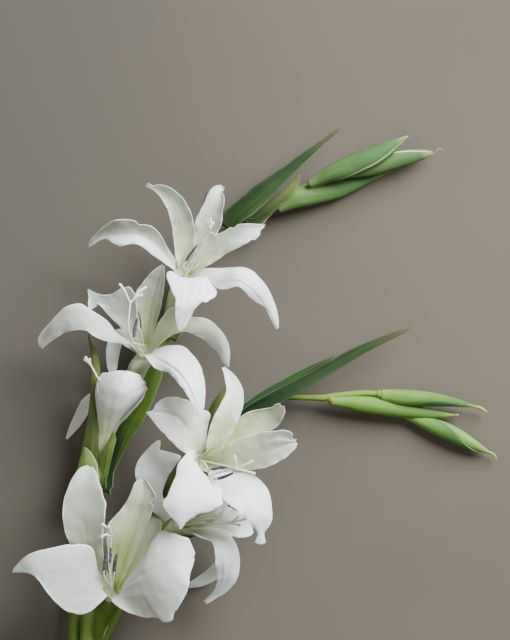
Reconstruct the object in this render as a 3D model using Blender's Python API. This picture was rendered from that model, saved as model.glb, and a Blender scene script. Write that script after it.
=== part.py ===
# A white gladiolus with two flowering arms, laid on a surface and seen from above.
#
# Places are in millimetres on the surface that the flower lies on: x to the right, y along the stem towards
# the buds, z up from the surface. The part's own origin is the middle of the flat underside of the stem,
# near its cut end, so every place is moved by REST_SPOT and scaled to metres as the meshes are made.
import math

import bmesh
import bpy
from mathutils import Vector

MM = 0.001
REST_SPOT = Vector((32.0, -98.0, 0.0))

# Stem
STEM_RADIUS = 4.0
ARM_RADIUS = 3.0
TIP_RADIUS = 1.0
STEM_SIDES = 8
STEM_REST_HEIGHT = STEM_RADIUS * math.cos(math.pi / STEM_SIDES)
LEFT_ARM_ROWS = 32
RIGHT_ARM_ROWS = 22

# Tepals
TEPAL_THICKNESS = 0.7
TEPAL_ROWS = 7
TEPAL_COLUMNS = 4
CLAW_WIDTH = 0.75  # half a claw's width, as a share of the throat's radius
CLAW_DEPTH = 0.6  # how far down the throat a claw starts, as a share of its depth
CLAW_INSET = 1.0
CLAW_FLARE = 1.2
TURN_SHARE = 0.35  # the share of its length over which a tepal turns from the throat to its own facing
TIP_HALF_WIDTH = 0.35
WAVE_REACH = 1.15
MARGIN_SKEW = 1.3  # how far the right margin's waves are ahead of the left one's, in radians

# Tubes and throats
TUBE_RADIUS = 2.0
TUBE_START = 0.55  # the radius at the stem, as a share of the tube's
TUBE_SIDES = 8
TUBE_ROWS = 5
THROAT_RADIUS = 4.2
THROAT_DEPTH = 3.5
THROAT_WALL = 1.2
THROAT_FLOOR = 0.9
THROAT_FLOOR_RADIUS = 2.0
MOUTH_DROP = 0.4
RIM_HEIGHT = 0.1
RIM_WIDTH = 0.8

# Stamens and styles
GAP = 0.4
FILAMENT_RADIUS = 0.5
FILAMENT_RISE = 4.0
FILAMENT_SPREAD = 0.12
FILAMENT_ROWS = 6
ANTHER_RADIUS = 0.95
ANTHER_TIP_RADIUS = 0.25
STYLE_RADIUS = 0.5
STYLE_ROWS = 6
STYLE_SEAT_OFFSET = 1.4
BRANCH_RADIUS = 0.6
BRANCH_BEND = 0.8
ROUND_SIDES = 5

# Bracts and buds
BRACT_THICKNESS = 0.8
BRACT_ROWS = 8
BRACT_COLUMNS = 2
BRACT_FOOT = 0.5  # a bract's width at its foot, as a share of its full width
BUD_SIDES = 8
BUD_ROWS = 9
BUD_FOOT = 0.30
BUD_TIP = 0.07

# Shared
SURFACE_CLEARANCE = 0.02
CURVE_STEPS = 16
LEAST_LEVEL = 0.05
PLANT_ROUGHNESS = 0.55
SHARP_ANGLE = math.radians(50)

# The arms' paths: (x, y, z, radius), from the cut end to where the last bud sits.
LEFT_ARM = [
    (32.0, -105.0, STEM_REST_HEIGHT, STEM_RADIUS),
    (32.0, -94.0, STEM_REST_HEIGHT, STEM_RADIUS),
    (32.0, -90.0, STEM_REST_HEIGHT, STEM_RADIUS),
    (33.0, -70.0, 4.6, 3.9),
    (35.0, -45.0, 6.0, 3.8),
    (33.5, -20.0, 7.5, 3.2),
    (32.5, 0.0, 8.0, ARM_RADIUS),
    (34.5, 25.0, 8.0, ARM_RADIUS),
    (38.0, 50.0, 8.0, ARM_RADIUS),
    (42.0, 70.0, 8.0, 2.9),
    (48.0, 85.0, 8.0, 2.8),
    (55.0, 98.0, 8.0, 2.7),
    (63.0, 112.0, 8.0, 2.6),
    (70.0, 126.0, 8.0, 2.5),
    (77.0, 142.0, 8.0, 2.4),
    (83.0, 158.0, 8.0, 2.3),
    (91.0, 173.0, 8.0, 2.2),
    (103.0, 186.0, 8.0, 2.0),
    (118.0, 194.0, 8.0, 1.8),
    (130.0, 199.0, 8.4, 1.5),
    (141.0, 204.5, 8.8, 1.2),
    (151.0, 208.5, 8.8, TIP_RADIUS),
]
RIGHT_ARM = [
    (34.6, -50.0, 5.6, 2.6),
    (38.0, -25.0, 7.5, ARM_RADIUS),
    (43.5, -5.0, 8.0, ARM_RADIUS),
    (49.5, 8.0, 8.0, ARM_RADIUS),
    (57.0, 22.0, 8.0, ARM_RADIUS),
    (63.5, 36.0, 8.0, 2.9),
    (70.0, 50.0, 8.0, 2.8),
    (77.0, 63.0, 8.0, 2.6),
    (85.0, 76.0, 8.0, 2.4),
    (94.0, 88.0, 8.0, 2.2),
    (104.0, 99.0, 8.0, 1.9),
    (114.0, 105.5, 8.0, 1.6),
    (126.0, 108.5, 7.5, 1.3),
    (138.0, 109.0, 7.0, 1.2),
    (148.0, 109.3, 6.6, 1.1),
    (158.0, 112.0, 6.2, TIP_RADIUS),
    (168.0, 112.0, 5.8, TIP_RADIUS),
]


def tepal(points, width, peak=0.55, blunt=1.0, cup=0.10, fold=0.0, wave=0.9, turns=2.0, phase=0.0,
          face=(0, 0, 1), margins=None, out=None):
    """One tepal: its midline from just past the throat to its tip, and how wide, hollow and waved it is.

    margins, where the two halves differ, lists (share of the length, left half width, right half width).
    out is the side of the throat that it starts from, where its first place doesn't say.
    """
    return dict(points=points, width=width, peak=peak, blunt=blunt, cup=cup, fold=fold, wave=wave,
                turns=turns, phase=phase, face=face, margins=margins, out=out)


# Each flower: its throat, the way it faces, the path of its tube from the stem, and its six tepals.
FLOWERS = {
    "a": dict(
        throat=(83.0, 165.0, 28.0),
        axis=(0.40, 0.62, 0.67),
        tube=[(74.0, 136.5, 12.6), (75.0, 143.0, 15.5), (77.5, 152.0, 19.5)],
        tepals=[
            tepal([(76, 172, 32), (70, 177.5, 36), (60, 182.7, 39), (50, 182.8, 37), (39.5, 176.8, 30)],
                11.5, 0.62, fold=0.35, cup=0.0, wave=0.5, face=(0.1, -0.15, 1)),
            tepal([(82.8, 173, 29), (83, 180, 31), (81, 192, 33), (76, 200.5, 34), (66, 205, 33)], 10.5, 0.5,
                fold=0.15, face=(0.2, -0.2, 1)),
            tepal([(88, 176, 27), (91.5, 183, 29), (95.5, 192, 31), (98, 199, 31), (100.3, 204, 27)], 12.5,
                0.62, blunt=0.6, wave=1.0, phase=1.0, face=(-0.2, 0, 1)),
            tepal([(89, 169, 31), (95, 174, 34), (104, 180.3, 38), (112, 183.6, 39), (119.6, 186, 37)], 10.5,
                0.68, blunt=0.6, wave=1.2, turns=2.5, phase=2.2, face=(0, -0.3, 1)),
            tepal([(91, 163.8, 34), (98, 162.7, 40), (108, 162.8, 45), (116, 156.6, 44), (122, 148.4, 38),
                (125, 139.5, 30)], 8.4, 0.60, wave=0.7, cup=0.0, face=(0, -0.25, 1)),
            tepal([(86.5, 162, 36), (87, 159, 43), (85, 152, 49), (81.3, 139, 45)], 23.5, cup=-0.08,
                wave=0.8, phase=0.6, face=(0.1, 0.15, 1), margins=[(0, 3, 3), (0.25, 7, 9.5),
                (0.45, 11, 11.4), (0.58, 10, 9), (0.7, 6, 7), (0.8, 3.6, 5), (0.9, 2, 3), (1, 0.4, 0.4)]),
        ],
    ),
    "b": dict(
        throat=(65.0, 131.0, 26.0),
        axis=(-0.15, 0.75, 0.64),
        tube=[(52.5, 92.0, 12.3), (55.6, 101.0, 12.6), (59.6, 112.0, 14.6), (62.7, 121.5, 19.6)],
        tepals=[
            tepal([(60, 134.5, 30), (50, 139.5, 36), (38, 144.7, 40), (27, 142, 37), (18.3, 131, 29)], 12.0,
                0.60, cup=-0.05, wave=0.8, phase=0.5, face=(0.1, -0.2, 1)),
            tepal([(60, 138, 27), (54, 145, 28), (47.5, 151.5, 30), (39, 158.2, 28)], 15.0, wave=1.0,
                phase=1.5, face=(0.1, -0.1, 1), margins=[(0, 3, 3), (0.2, 4, 4.5), (0.45, 6, 9.5),
                (0.65, 5.5, 11.5), (0.8, 4, 9), (0.9, 3, 5), (1, 0.6, 1.2)]),
            tepal([(65, 138, 24), (66, 146, 23), (68.5, 157, 23), (73, 169, 20)], 13.5, 0.55, wave=1.0,
                phase=2.6, face=(-0.1, -0.1, 1)),
            tepal([(72, 135, 29), (80, 140, 34), (91, 139.5, 36), (99, 133.5, 33), (102.3, 122.5, 27)], 10.8,
                0.55, cup=0.0, wave=0.7, phase=0.2, face=(0.1, -0.15, 1)),
            tepal([(70, 128.5, 33), (75, 127.8, 39), (83, 123.5, 46), (88.7, 113, 49), (89.2, 100.8, 45)],
                14.0, 0.52, cup=-0.06, wave=0.8, phase=1.1, face=(0, -0.1, 1)),
            tepal([(58, 134, 23), (53.5, 137, 21), (50.6, 130, 19), (50.2, 118, 18)], 6.6, 0.62, wave=0.5,
                cup=0.0, face=(0, 0.2, 1)),
        ],
    ),
    "c": dict(
        throat=(91.0, 80.0, 34.0),
        axis=(0.52, 0.12, 0.84),
        tube=[(77.4, 65.0, 11.7), (79.0, 69.0, 16.5), (84.5, 75.2, 25.5)],
        tepals=[
            tepal([(87.5, 85, 36), (83.5, 91.5, 37), (77.5, 99, 36), (65.8, 102.6, 33)], 24.0, cup=0.05,
                fold=0.12, wave=1.0, phase=0.3, face=(0.25, -0.15, 1), margins=[(0, 3, 3), (0.15, 4.2, 5),
                (0.35, 6, 14), (0.5, 6.5, 13.5), (0.62, 6.3, 11), (0.75, 4.2, 8.5), (0.85, 2.2, 6),
                (0.93, 1, 3), (1, 0.4, 0.4)]),
            tepal([(95, 86, 36), (98.5, 94, 38), (102.8, 104, 39), (105.2, 113, 38), (100.5, 123, 34)], 12.5,
                0.52, wave=0.8, fold=0.15, phase=1.9, face=(-0.2, -0.1, 1)),
            tepal([(97, 85, 36), (105, 92, 37), (114, 97.5, 38), (121, 101, 40), (127.2, 104.5, 42)], 12.0,
                0.58, blunt=0.7, wave=1.0, phase=0.9, face=(-0.1, -0.2, 1)),
            tepal([(97.5, 81, 39), (106, 83.5, 43), (117, 86.3, 46), (126, 88.7, 47), (133.5, 89.5, 46)],
                16.0, 0.64, blunt=0.55, wave=1.1, turns=2.5, phase=2.4, face=(0, 0.15, 1)),
            tepal([(98, 75.5, 40), (106, 71.5, 46), (113.5, 65, 50), (117, 56, 49), (117, 44, 43)], 17.5,
                cup=-0.10, wave=0.7, phase=1.3, face=(0.1, 0, 1), margins=[(0, 3, 3), (0.15, 4, 4),
                (0.33, 6, 8), (0.53, 7.5, 9), (0.65, 7.5, 8.8), (0.74, 5.5, 7), (0.82, 3.5, 4.5),
                (0.88, 2, 2.2), (0.95, 2.3, 2.4), (1, 2.6, 2.7)]),
            tepal([(88.5, 78.5, 42), (87.5, 74, 49), (86.5, 66, 54), (81.3, 51.7, 52)], 31.0, cup=-0.08,
                wave=0.9, phase=0.1, face=(0.05, 0.05, 1), margins=[(0, 3, 3), (0.12, 2.5, 6.5),
                (0.28, 5.5, 8.5), (0.45, 11.5, 9.3), (0.58, 15.5, 10), (0.73, 11.5, 10.5), (0.85, 5, 11),
                (0.93, 2, 7.5), (1, 0.5, 0.6)]),
        ],
    ),
    "d": dict(
        throat=(82.0, 51.5, 20.0),
        axis=(0.90, 0.12, 0.36),
        tube=[(67.4, 41.3, 12.1), (71.5, 45.0, 14.0), (76.0, 49.0, 17.0)],
        tepals=[
            tepal([(78, 56.5, 22.5), (71.5, 63, 22.5), (68.3, 72, 22), (68.5, 82, 22.5), (72.3, 90, 23)],
                17.0, wave=0.6, cup=0.04, phase=0.4, face=(0, -0.2, -1), out=(-0.1, 0.8, 0.6),
                margins=[(0, 3, 3), (0.15, 3, 3), (0.3, 2, 4.5), (0.4, 3, 5.5), (0.52, 6.6, 6.6),
                (0.62, 8, 7), (0.7, 11.5, 6.3), (0.79, 8, 5.2), (0.86, 2.5, 4), (0.94, 1.2, 2),
                (1, 0.4, 0.4)]),
            tepal([(88, 52.8, 19), (95, 53.4, 22), (104, 52.3, 26), (114.5, 50, 27)], 11.0, 0.60, blunt=0.6,
                wave=0.7, phase=1.2, face=(0, 0.1, 1), out=(0.3, 0.1, -1)),
            tepal([(87, 49.3, 25), (94, 48.8, 31), (100.8, 44.5, 36), (102.6, 34, 35), (100.4, 24.5, 28),
                (91.8, 16.6, 21)], 12.0, cup=0.08, wave=0.8, phase=0.7, face=(0, 0.2, -1),
                out=(0, -0.8, 0.6), margins=[(0, 2.5, 2.5), (0.15, 2.4, 1.6), (0.29, 3.2, 1.7),
                (0.44, 5.5, 4.5), (0.6, 5, 5.2), (0.79, 3.2, 4.2), (0.9, 1.8, 2.5), (1, 0.4, 0.4)]),
            tepal([(88, 48.6, 15.5), (98, 45.0, 13.5), (101.5, 37, 11), (97, 29, 7), (91, 25, 3.5),
                (83, 22.3, 0.4)], 6.8, 0.60, cup=0.0, wave=0.5, phase=2.0, face=(0, 0, 1),
                out=(0, -0.7, -0.7)),
            tepal([(88, 56, 22), (95, 60, 24.5), (104, 64.5, 26.5)], 11.0, 0.58, wave=0.7, phase=2.7,
                face=(0, 0, 1), out=(0, 1, -0.1)),
            tepal([(85, 57.8, 25.5), (90, 65, 27), (96.5, 72.5, 26)], 9.0, 0.58, wave=0.6, phase=1.6,
                cup=-0.1, face=(0, -0.1, -1), out=(0, 0.5, 0.85)),
        ],
    ),
    "e": dict(
        throat=(50.5, 21.5, 26.0),
        axis=(0.0, 0.74, 0.67),
        tube=[(45.5, -6.0, 12.3), (47.0, 2.0, 15.0), (49.0, 11.0, 19.5)],
        tepals=[
            tepal([(45.5, 29, 29), (41, 39, 34), (38, 52, 37), (38, 66, 36), (40.3, 78.7, 32)], 20.0, 0.66,
                blunt=0.72, wave=0.9, phase=0.8, face=(0.2, -0.05, 1)),
            tepal([(46.5, 22.5, 33), (40, 25, 38), (28.5, 28.5, 44), (16, 32, 44), (5.8, 31.2, 38)], 30.0,
                cup=-0.03, wave=1.0, phase=1.4, face=(0.1, 0.1, 1), margins=[(0, 3, 3), (0.17, 5, 6),
                (0.23, 9, 10), (0.32, 13.5, 17), (0.43, 16, 16.5), (0.53, 15.5, 14.8), (0.62, 13.4, 12.6),
                (0.71, 9.5, 10.4), (0.79, 5.5, 7.7), (0.87, 2, 5.2), (0.94, 1, 2.6), (1, 0.4, 0.4)]),
            tepal([(55, 22, 33), (61, 25.5, 41), (70, 30, 47), (79, 34, 49), (87.5, 39, 46)], 38.0,
                cup=-0.05, wave=1.0, phase=2.3, face=(-0.05, 0.05, 1), margins=[(0, 3, 3), (0.19, 4, 8),
                (0.39, 6.5, 15), (0.5, 9.5, 18), (0.61, 12.3, 19), (0.7, 14.8, 17.5), (0.8, 17, 12.5),
                (0.92, 14.5, 5), (1, 8.5, 0.5)]),
            tepal([(53, 28, 27), (55.5, 41, 31), (59.5, 55, 34), (63, 65, 36), (65.5, 72.5, 35)], 14.5,
                wave=0.8, fold=0.15, phase=0.2, face=(-0.15, -0.1, 1), margins=[(0, 3, 3), (0.15, 4, 4),
                (0.4, 6.5, 5.5), (0.57, 7.5, 6), (0.71, 5.2, 7), (0.8, 4.6, 7.3), (0.9, 4, 4.5),
                (1, 1.5, 1)]),
            tepal([(55, 26, 24), (62.5, 40, 23), (68.5, 52, 20.5), (71.5, 60, 18.5)], 12.5, 0.55, wave=0.8,
                phase=1.7, face=(-0.1, 0, 1)),
            tepal([(49, 29, 24), (47, 40, 24), (46.5, 50, 22.5)], 11.0, 0.55, wave=0.8, phase=2.9,
                face=(0, 0, 1)),
        ],
    ),
    "f": dict(
        throat=(51.8, 105.2, 24.6),
        axis=(0.30, 0.88, 0.36),
        tube=[(43.6, 76.5, 12.3), (44.8, 82.0, 14.0), (46.6, 88.5, 16.7)],
        tepals=[
            tepal([(49.0, 103.5, 19.6), (45.0, 108.5, 17.0), (39.6, 107.5, 12.5), (34.5, 99, 6.0),
                (28.8, 89.8, 0.4)], 5.6, 0.66, blunt=1.0, cup=0.0, wave=0.4, phase=1.0, face=(-0.1, 0.0, 1)),
        ],
    ),
}

# Stamens: where each flower's three anthers start and end, above the surface.
ANTHERS = {
    "a": [((82.6, 168.3, 35), (89.0, 177.6, 40)), ((85.5, 169.5, 37), (91.2, 178.2, 42)), ((88.0, 167.5, 39),
        (94.4, 175.6, 45))],
    "b": [((60.2, 134.5, 34), (63.0, 144.5, 37)), ((63.6, 138.0, 33), (62.6, 147.9, 36)), ((58.2, 138.5, 33),
        (58.8, 148.6, 36))],
    "c": [((94.0, 76.9, 44), (103.0, 78.7, 50)), ((96.0, 72.9, 49), (105.3, 76.2, 54)), ((95.0, 74.9, 47),
        (104.0, 77.2, 53))],
    "d": [((88.5, 52.9, 25.5), (97.0, 54.8, 31)), ((88.5, 54.6, 26), (97.0, 58.4, 31.5)),
        ((88.5, 53.6, 27.5), (96.5, 56.2, 34))],
    "e": [((47.0, 30.0, 35), (50.5, 39.0, 40)), ((49.0, 34.0, 34), (49.3, 42.6, 37)), ((51.8, 30.0, 35),
        (53.0, 39.5, 40))],
    "f": [((52.0, 106.5, 27), (52.5, 114.5, 30)), ((54.0, 106.5, 27), (56.5, 114.0, 29.5)),
        ((54.5, 105.5, 25.5), (58.5, 112.0, 26.5))],
}

# Styles: places along each flower's style beyond the throat, and the ends of its three branches.
STYLES = {
    "a": ([(86.6, 168.4, 39.5), (94.5, 184.0, 49)], [(92.2, 188.6, 49.5), (94.6, 189.6, 50),
        (97.4, 187.0, 49)]),
    "b": ([(58.6, 138.6, 40), (59.0, 152.0, 41)], [(54.0, 160.4, 41), (64.6, 155.2, 41), (66.3, 159.0, 39)]),
    "c": ([(96.8, 80.2, 49), (106.0, 78.2, 56)], [(105.4, 84.2, 57), (113.8, 81.8, 57.5),
        (115.0, 75.8, 57)]),
    "d": ([(88.6, 52.5, 29.2), (95.0, 52.4, 34), (103.0, 53.0, 38)], [(107.5, 56.3, 38), (110.8, 55.2, 38.5),
        (108.5, 52.0, 38.5)]),
    "e": ([(49.8, 33.0, 41), (50.4, 48.0, 44)], [(49.2, 52.4, 44.5), (46.2, 53.2, 44), (45.8, 47.0, 43.5)]),
    "f": ([(50.2, 109.2, 28.4), (49.9, 115.0, 31.0), (48.5, 119.0, 32.9), (45.2, 121.4, 33.8)],
        [(42.0, 124.4, 33), (39.0, 126.4, 32.5), (44.6, 124.6, 33)]),
}

# Flower f is half open, so five of its tepals still stand as a cup: rings of
# (x, y, z, half width, half height) from its tube to its mouth, whose rim rises and falls with their tips.
CUP = [
    (47.3, 91.5, 18.2, 2.7, 2.3),
    (48.9, 97.0, 20.8, 4.6, 3.9),
    (50.4, 101.6, 23.0, 6.6, 5.4),
    (52.3, 106.5, 25.5, 8.9, 7.2),
    (54.0, 111.5, 28.0, 10.9, 8.4),
    (55.2, 115.5, 29.5, 10.7, 8.0),
    (56.0, 118.4, 30.5, 8.8, 6.8),
]
CUP_SIDES = 14
CUP_TUBE_ROWS = 4
CUP_FLOOR_RING = 2
CUP_WALL = TEPAL_THICKNESS * 1.1
CUP_LOBES = 3
CUP_LOBE = 2.4
CUP_LOBE_TURN = math.radians(95)


def bract(points, width, peak=0.35, cup=-0.12, blunt=1.0, fold=0.0, colour="bract_green", margins=None):
    """One bract: its midline from its foot to its tip, and how wide, hollow and folded it is."""
    return dict(points=points, width=width, peak=peak, cup=cup, blunt=blunt, fold=fold, wave=0.0, turns=0.0,
                phase=0.0, colour=colour, margins=margins)


BRACTS = {
    # Flower e, at the foot of the right arm
    "bract_e_outer": bract([(43.0, -18, 12.4), (45.5, -8, 16.8), (47.0, 2, 20.6), (50.0, 11, 25.2),
        (53.0, 17.5, 28.2)], 9.5, 0.45, cup=-0.22),
    "bract_e_inner": bract([(38.2, -12, 14.8), (38.8, -4, 15.2), (40.4, 5, 15.8), (42.4, 15, 17.0)], 6.0,
        0.4, cup=-0.12),
    # Flower f, on the left arm
    "bract_f_outer": bract([(38.3, 64, 12.6), (39.3, 76, 15.8), (40.5, 90, 20.6), (41.8, 106, 24.4),
        (42.8, 120, 26.4), (39.6, 137.5, 29)], 9.0, cup=-0.06, colour="bract_olive", margins=[(0, 3, 3),
        (0.16, 4.5, 4.2), (0.35, 3.2, 2.7), (0.57, 2.1, 1.7), (0.76, 1.7, 1.7), (0.92, 1.1, 1.1),
        (1, 0.35, 0.35)]),
    "bract_f_inner": bract([(44.9, 69, 12.8), (47.0, 77, 16.8), (48.4, 85, 20.2), (49.6, 93, 23.0)], 6.0,
        0.35, cup=-0.2),
    # Flower b's long bract, bright above and dark below
    "bract_b_outer": bract([(46.4, 66, 10.4), (49.6, 78, 12.6), (54.4, 91, 15.8), (62.4, 104, 18.8),
        (68.2, 116, 18.6), (73.5, 129, 18)], 9.4, 0.62, cup=-0.04, colour="bract_bright"),
    "bract_a_outer": bract([(77.2, 135, 11.6), (82.6, 146, 14.0), (86.5, 160, 17), (89.0, 178, 20),
        (91.0, 190, 22), (93.4, 203, 23)], 7.5, 0.3, cup=-0.08, colour="bract_olive"),
    "bract_a_inner": bract([(70.4, 129.0, 11.3), (69.4, 137, 13.2), (69.6, 146, 15.0), (71.0, 155, 16.4)],
        5.6, 0.4, cup=-0.1),
    "bract_b_inner": bract([(45.8, 90.0, 8.0), (48.0, 98, 9.8), (52.2, 108.5, 12.2), (57.0, 120, 15.0)], 4.6,
        0.4, cup=-0.1),
    "bract_c_outer": bract([(73.0, 56.0, 12.2), (73.6, 61.5, 17.0), (75.8, 68.5, 23.0), (77.6, 74, 26.5),
        (80.6, 79.6, 30.5)], 4.0, 0.4, cup=-0.1, colour="bract_olive"),
    "bract_c_inner": bract([(82.0, 69.5, 11.7), (87.6, 80, 14.3), (93.0, 92, 18), (98.0, 107, 22),
        (104.5, 117.5, 24)], 7.0, 0.4, cup=-0.08, colour="bract_olive"),
    "bract_d_outer": bract([(67.2, 33.0, 8.6), (72.5, 39, 11.6), (80.0, 44.3, 13.2), (88.0, 46.5, 12.0)],
        6.0, 0.4, cup=-0.12),
    # The long dark bracts above the open flowers
    "bract_left_long": bract([(102.2, 186.8, 10.9), (107.4, 192.6, 12.9), (117.0, 200.7, 14.5),
        (130.0, 211.4, 14.0), (142.0, 221.2, 13.0), (153.5, 230.2, 12.0)], 9.2, 0.42, blunt=1.2, cup=-0.05,
        fold=0.25, colour="bract_dark"),
    "bract_left_olive": bract([(108.6, 187.4, 10.9), (114.4, 190.6, 11.9), (122.0, 195.5, 12.6),
        (129.0, 202.5, 13.0), (135.2, 210.2, 12.5)], 6.4, 0.42, cup=-0.06, colour="bract_olive"),
    "bract_right_long": bract([(106.5, 98.6, 11.6), (114.0, 103.2, 13.2), (128.0, 111.0, 14.5),
        (147.0, 122.0, 14.5), (165.0, 130.5, 14.0), (185.3, 140.8, 12.5)], 8.6, 0.36, blunt=1.2, cup=-0.05,
        fold=0.25, colour="bract_dark"),
    "bract_right_second": bract([(106.5, 101.8, 10.8), (116.0, 107.2, 11.0), (128.0, 114.0, 11.2),
        (140.0, 121.4, 11.4), (151.8, 128.3, 11.4)], 6.4, 0.36, cup=-0.05, colour="bract_dark"),
    # A sheathing leaf at the fork, below the photograph's edge
    "leaf_fork": bract([(36.0, -64.0, 10.2), (35.5, -50.0, 11.8), (36.0, -36.0, 12.8), (38.0, -20.0, 12.4)],
        8.5, 0.4, cup=-0.2, colour="bract_green"),
}

# Buds: the midline of each closed bud with its bract, and its widest place.
BUDS = {
    "bud_left_lower": dict(points=[(125.6, 194.6, 6.0), (133.5, 197.8, 4.4), (148.0, 203.2, 3.2),
        (163.0, 208.0, 3.2), (176.0, 211.6, 3.4)], width=7.4, height=7.0, peak=0.45),
    "bud_left_upper": dict(points=[(139.5, 205.4, 11.1), (148.5, 211.8, 12.8), (160.0, 216.5, 13.4),
        (172.0, 221.8, 13.0), (184.3, 227.3, 11.5)], width=9.4, height=7.6, peak=0.50),
    "bud_left_end": dict(points=[(153.0, 209.4, 8.8), (166.0, 212.8, 8.6), (180.0, 217.0, 7.4),
        (190.0, 219.2, 6.2), (199.8, 221.8, 5.4)], width=7.6, height=7.0, peak=0.52),
    "bud_right_lower": dict(points=[(149.0, 107.0, 6.3), (160.0, 106.6, 5.2), (176.0, 105.4, 4.4),
        (192.0, 102.6, 4.0), (207.8, 100.6, 3.8)], width=6.8, height=6.8, peak=0.34),
    "bud_right_middle": dict(points=[(168.4, 111.9, 5.9), (181.0, 110.3, 6.6), (194.0, 108.2, 6.4),
        (208.0, 105.4, 5.6), (220.4, 102.4, 4.8)], width=5.6, height=5.6, peak=0.42),
    "bud_right_end": dict(points=[(182.0, 99.6, 3.2), (194.0, 96.6, 3.2), (204.0, 92.4, 3.2),
        (214.0, 88.0, 3.3), (225.0, 80.9, 3.6)], width=7.8, height=7.2, peak=0.5),
}

COLOURS = {
    "stem": (0.17, 0.23, 0.05),
    "bloom": (0.80, 0.82, 0.78),
    "stamens": (0.33, 0.29, 0.33),
    "style": (0.80, 0.80, 0.70),
    "bract_green": (0.16, 0.28, 0.04),
    "bract_bright": (0.12, 0.24, 0.02),
    "bract_olive": (0.13, 0.16, 0.04),
    "bract_dark": (0.03, 0.09, 0.03),
    "bud": (0.22, 0.40, 0.12),
}


def clear_scene():
    for obj in list(bpy.data.objects):
        bpy.data.objects.remove(obj, do_unlink=True)


def material_of(kind):
    """The material of a kind of piece, made when it is first asked for."""
    name = "gladiolus_" + kind
    found = bpy.data.materials.get(name)
    if found:
        return found
    made = bpy.data.materials.new(name)
    made.use_nodes = True
    shader = made.node_tree.nodes["Principled BSDF"]
    shader.inputs["Base Color"].default_value = (*COLOURS[kind], 1.0)
    shader.inputs["Roughness"].default_value = PLANT_ROUGHNESS
    shader.inputs["Metallic"].default_value = 0.0
    return made


def spline(before, start, end, after, u):
    """A number on the smooth curve from start to end, at the share u of the way."""
    return 0.5 * (2 * start + (end - before) * u + (2 * before - 5 * start + 4 * end - after) * u ** 2
                  + (3 * start - before - 3 * end + after) * u ** 3)


def smooth_line(points, steps):
    """Evenly spaced points on a smooth curve through the given ones, and their radius, if they have one."""
    knots = [tuple(map(float, p)) for p in points]
    first = tuple(2 * a - b for a, b in zip(knots[0], knots[1]))
    last = tuple(2 * a - b for a, b in zip(knots[-1], knots[-2]))
    knots = [first] + knots + [last]
    fine = []
    for i in range(1, len(knots) - 2):
        for j in range(CURVE_STEPS):
            fine.append(tuple(spline(*numbers, j / CURVE_STEPS) for numbers in zip(*knots[i - 1:i + 3])))
    fine.append(knots[-2])
    lengths = [0.0]
    for a, b in zip(fine, fine[1:]):
        lengths.append(lengths[-1] + (Vector(b[:3]) - Vector(a[:3])).length)
    result = []
    i = 0
    for k in range(steps + 1):
        wanted = lengths[-1] * k / steps
        while i < len(fine) - 2 and lengths[i + 1] < wanted:
            i += 1
        u = (wanted - lengths[i]) / (lengths[i + 1] - lengths[i])
        u = min(max(u, 0.0), 1.0)
        result.append(tuple(a + (b - a) * u for a, b in zip(fine[i], fine[i + 1])))
    return result


def tangents(line):
    """The way the line runs at each of its points."""
    places = [Vector(p[:3]) for p in line]
    last = len(places) - 1
    return [(places[min(i + 1, last)] - places[max(i - 1, 0)]).normalized() for i in range(last + 1)]


def mesh_object(name, verts, faces, kind):
    """An object from places on the surface, in millimetres, with its faces turned out."""
    bm = bmesh.new()
    made = [bm.verts.new((Vector(v) - REST_SPOT) * MM) for v in verts]
    for face in faces:
        bm.faces.new([made[i] for i in face])
    bmesh.ops.recalc_face_normals(bm, faces=bm.faces)
    mesh = bpy.data.meshes.new(name)
    bm.to_mesh(mesh)
    bm.free()
    obj = bpy.data.objects.new(name, mesh)
    bpy.context.scene.collection.objects.link(obj)
    mesh.materials.append(material_of(kind))
    return obj


def frame_at(way):
    """The level side and the upward way across a line that runs this way."""
    side = way.cross(Vector((0, 0, 1)))
    if side.length < LEAST_LEVEL:
        side = Vector((1, 0, 0))
    side.normalize()
    return side, side.cross(way).normalized()


def ring_walls(ring_count, sides):
    """The four-sided faces between rings of points, and a cap on the first and the last ring."""
    faces = []
    for i in range(ring_count - 1):
        for k in range(sides):
            a = i * sides + k
            b = i * sides + (k + 1) % sides
            faces.append((a, b, b + sides, a + sides))
    end = (ring_count - 1) * sides
    faces.append(tuple(reversed(range(sides))))
    faces.append(tuple(range(end, end + sides)))
    return faces


def swept(name, line, radii, sides, kind, squash=1.0, flat_base=False):
    """A closed round rod along a line. squash is its height over its width. flat_base turns a face down."""
    turn = math.pi / sides if flat_base else 0.0
    verts = []
    for place, way, radius in zip(line, tangents(line), radii):
        side, up = frame_at(way)
        for k in range(sides):
            angle = -math.pi / 2 + turn + 2 * math.pi * k / sides
            point = Vector(place[:3])
            point += side * math.cos(angle) * radius + up * math.sin(angle) * radius * squash
            point.z = max(point.z, 0.0)
            verts.append(point)
    return mesh_object(name, verts, ring_walls(len(line), sides), kind)


def join_union(name, pieces):
    """Several closed pieces as one body."""
    base = pieces[0]
    base.name = name
    others = bpy.data.collections.new("joined_" + name)
    for piece in pieces[1:]:
        others.objects.link(piece)
    modifier = base.modifiers.new("Union", "BOOLEAN")
    modifier.operand_type = "COLLECTION"
    modifier.collection = others
    modifier.operation = "UNION"
    modifier.solver = "EXACT"
    bpy.context.view_layer.update()
    graph = bpy.context.evaluated_depsgraph_get()
    whole = bpy.data.meshes.new_from_object(base.evaluated_get(graph))
    base.modifiers.clear()
    base.data = whole
    base.data.name = name
    for piece in pieces[1:]:
        bpy.data.objects.remove(piece, do_unlink=True)
    bpy.data.collections.remove(others)
    return base


def between(rows, t):
    """The values of a table of rows at t, with its first column as the place."""
    for low, high in zip(rows, rows[1:]):
        if t <= high[0]:
            u = (t - low[0]) / (high[0] - low[0])
            return [a + (b - a) * u for a, b in zip(low[1:], high[1:])]
    return list(rows[-1][1:])


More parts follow.
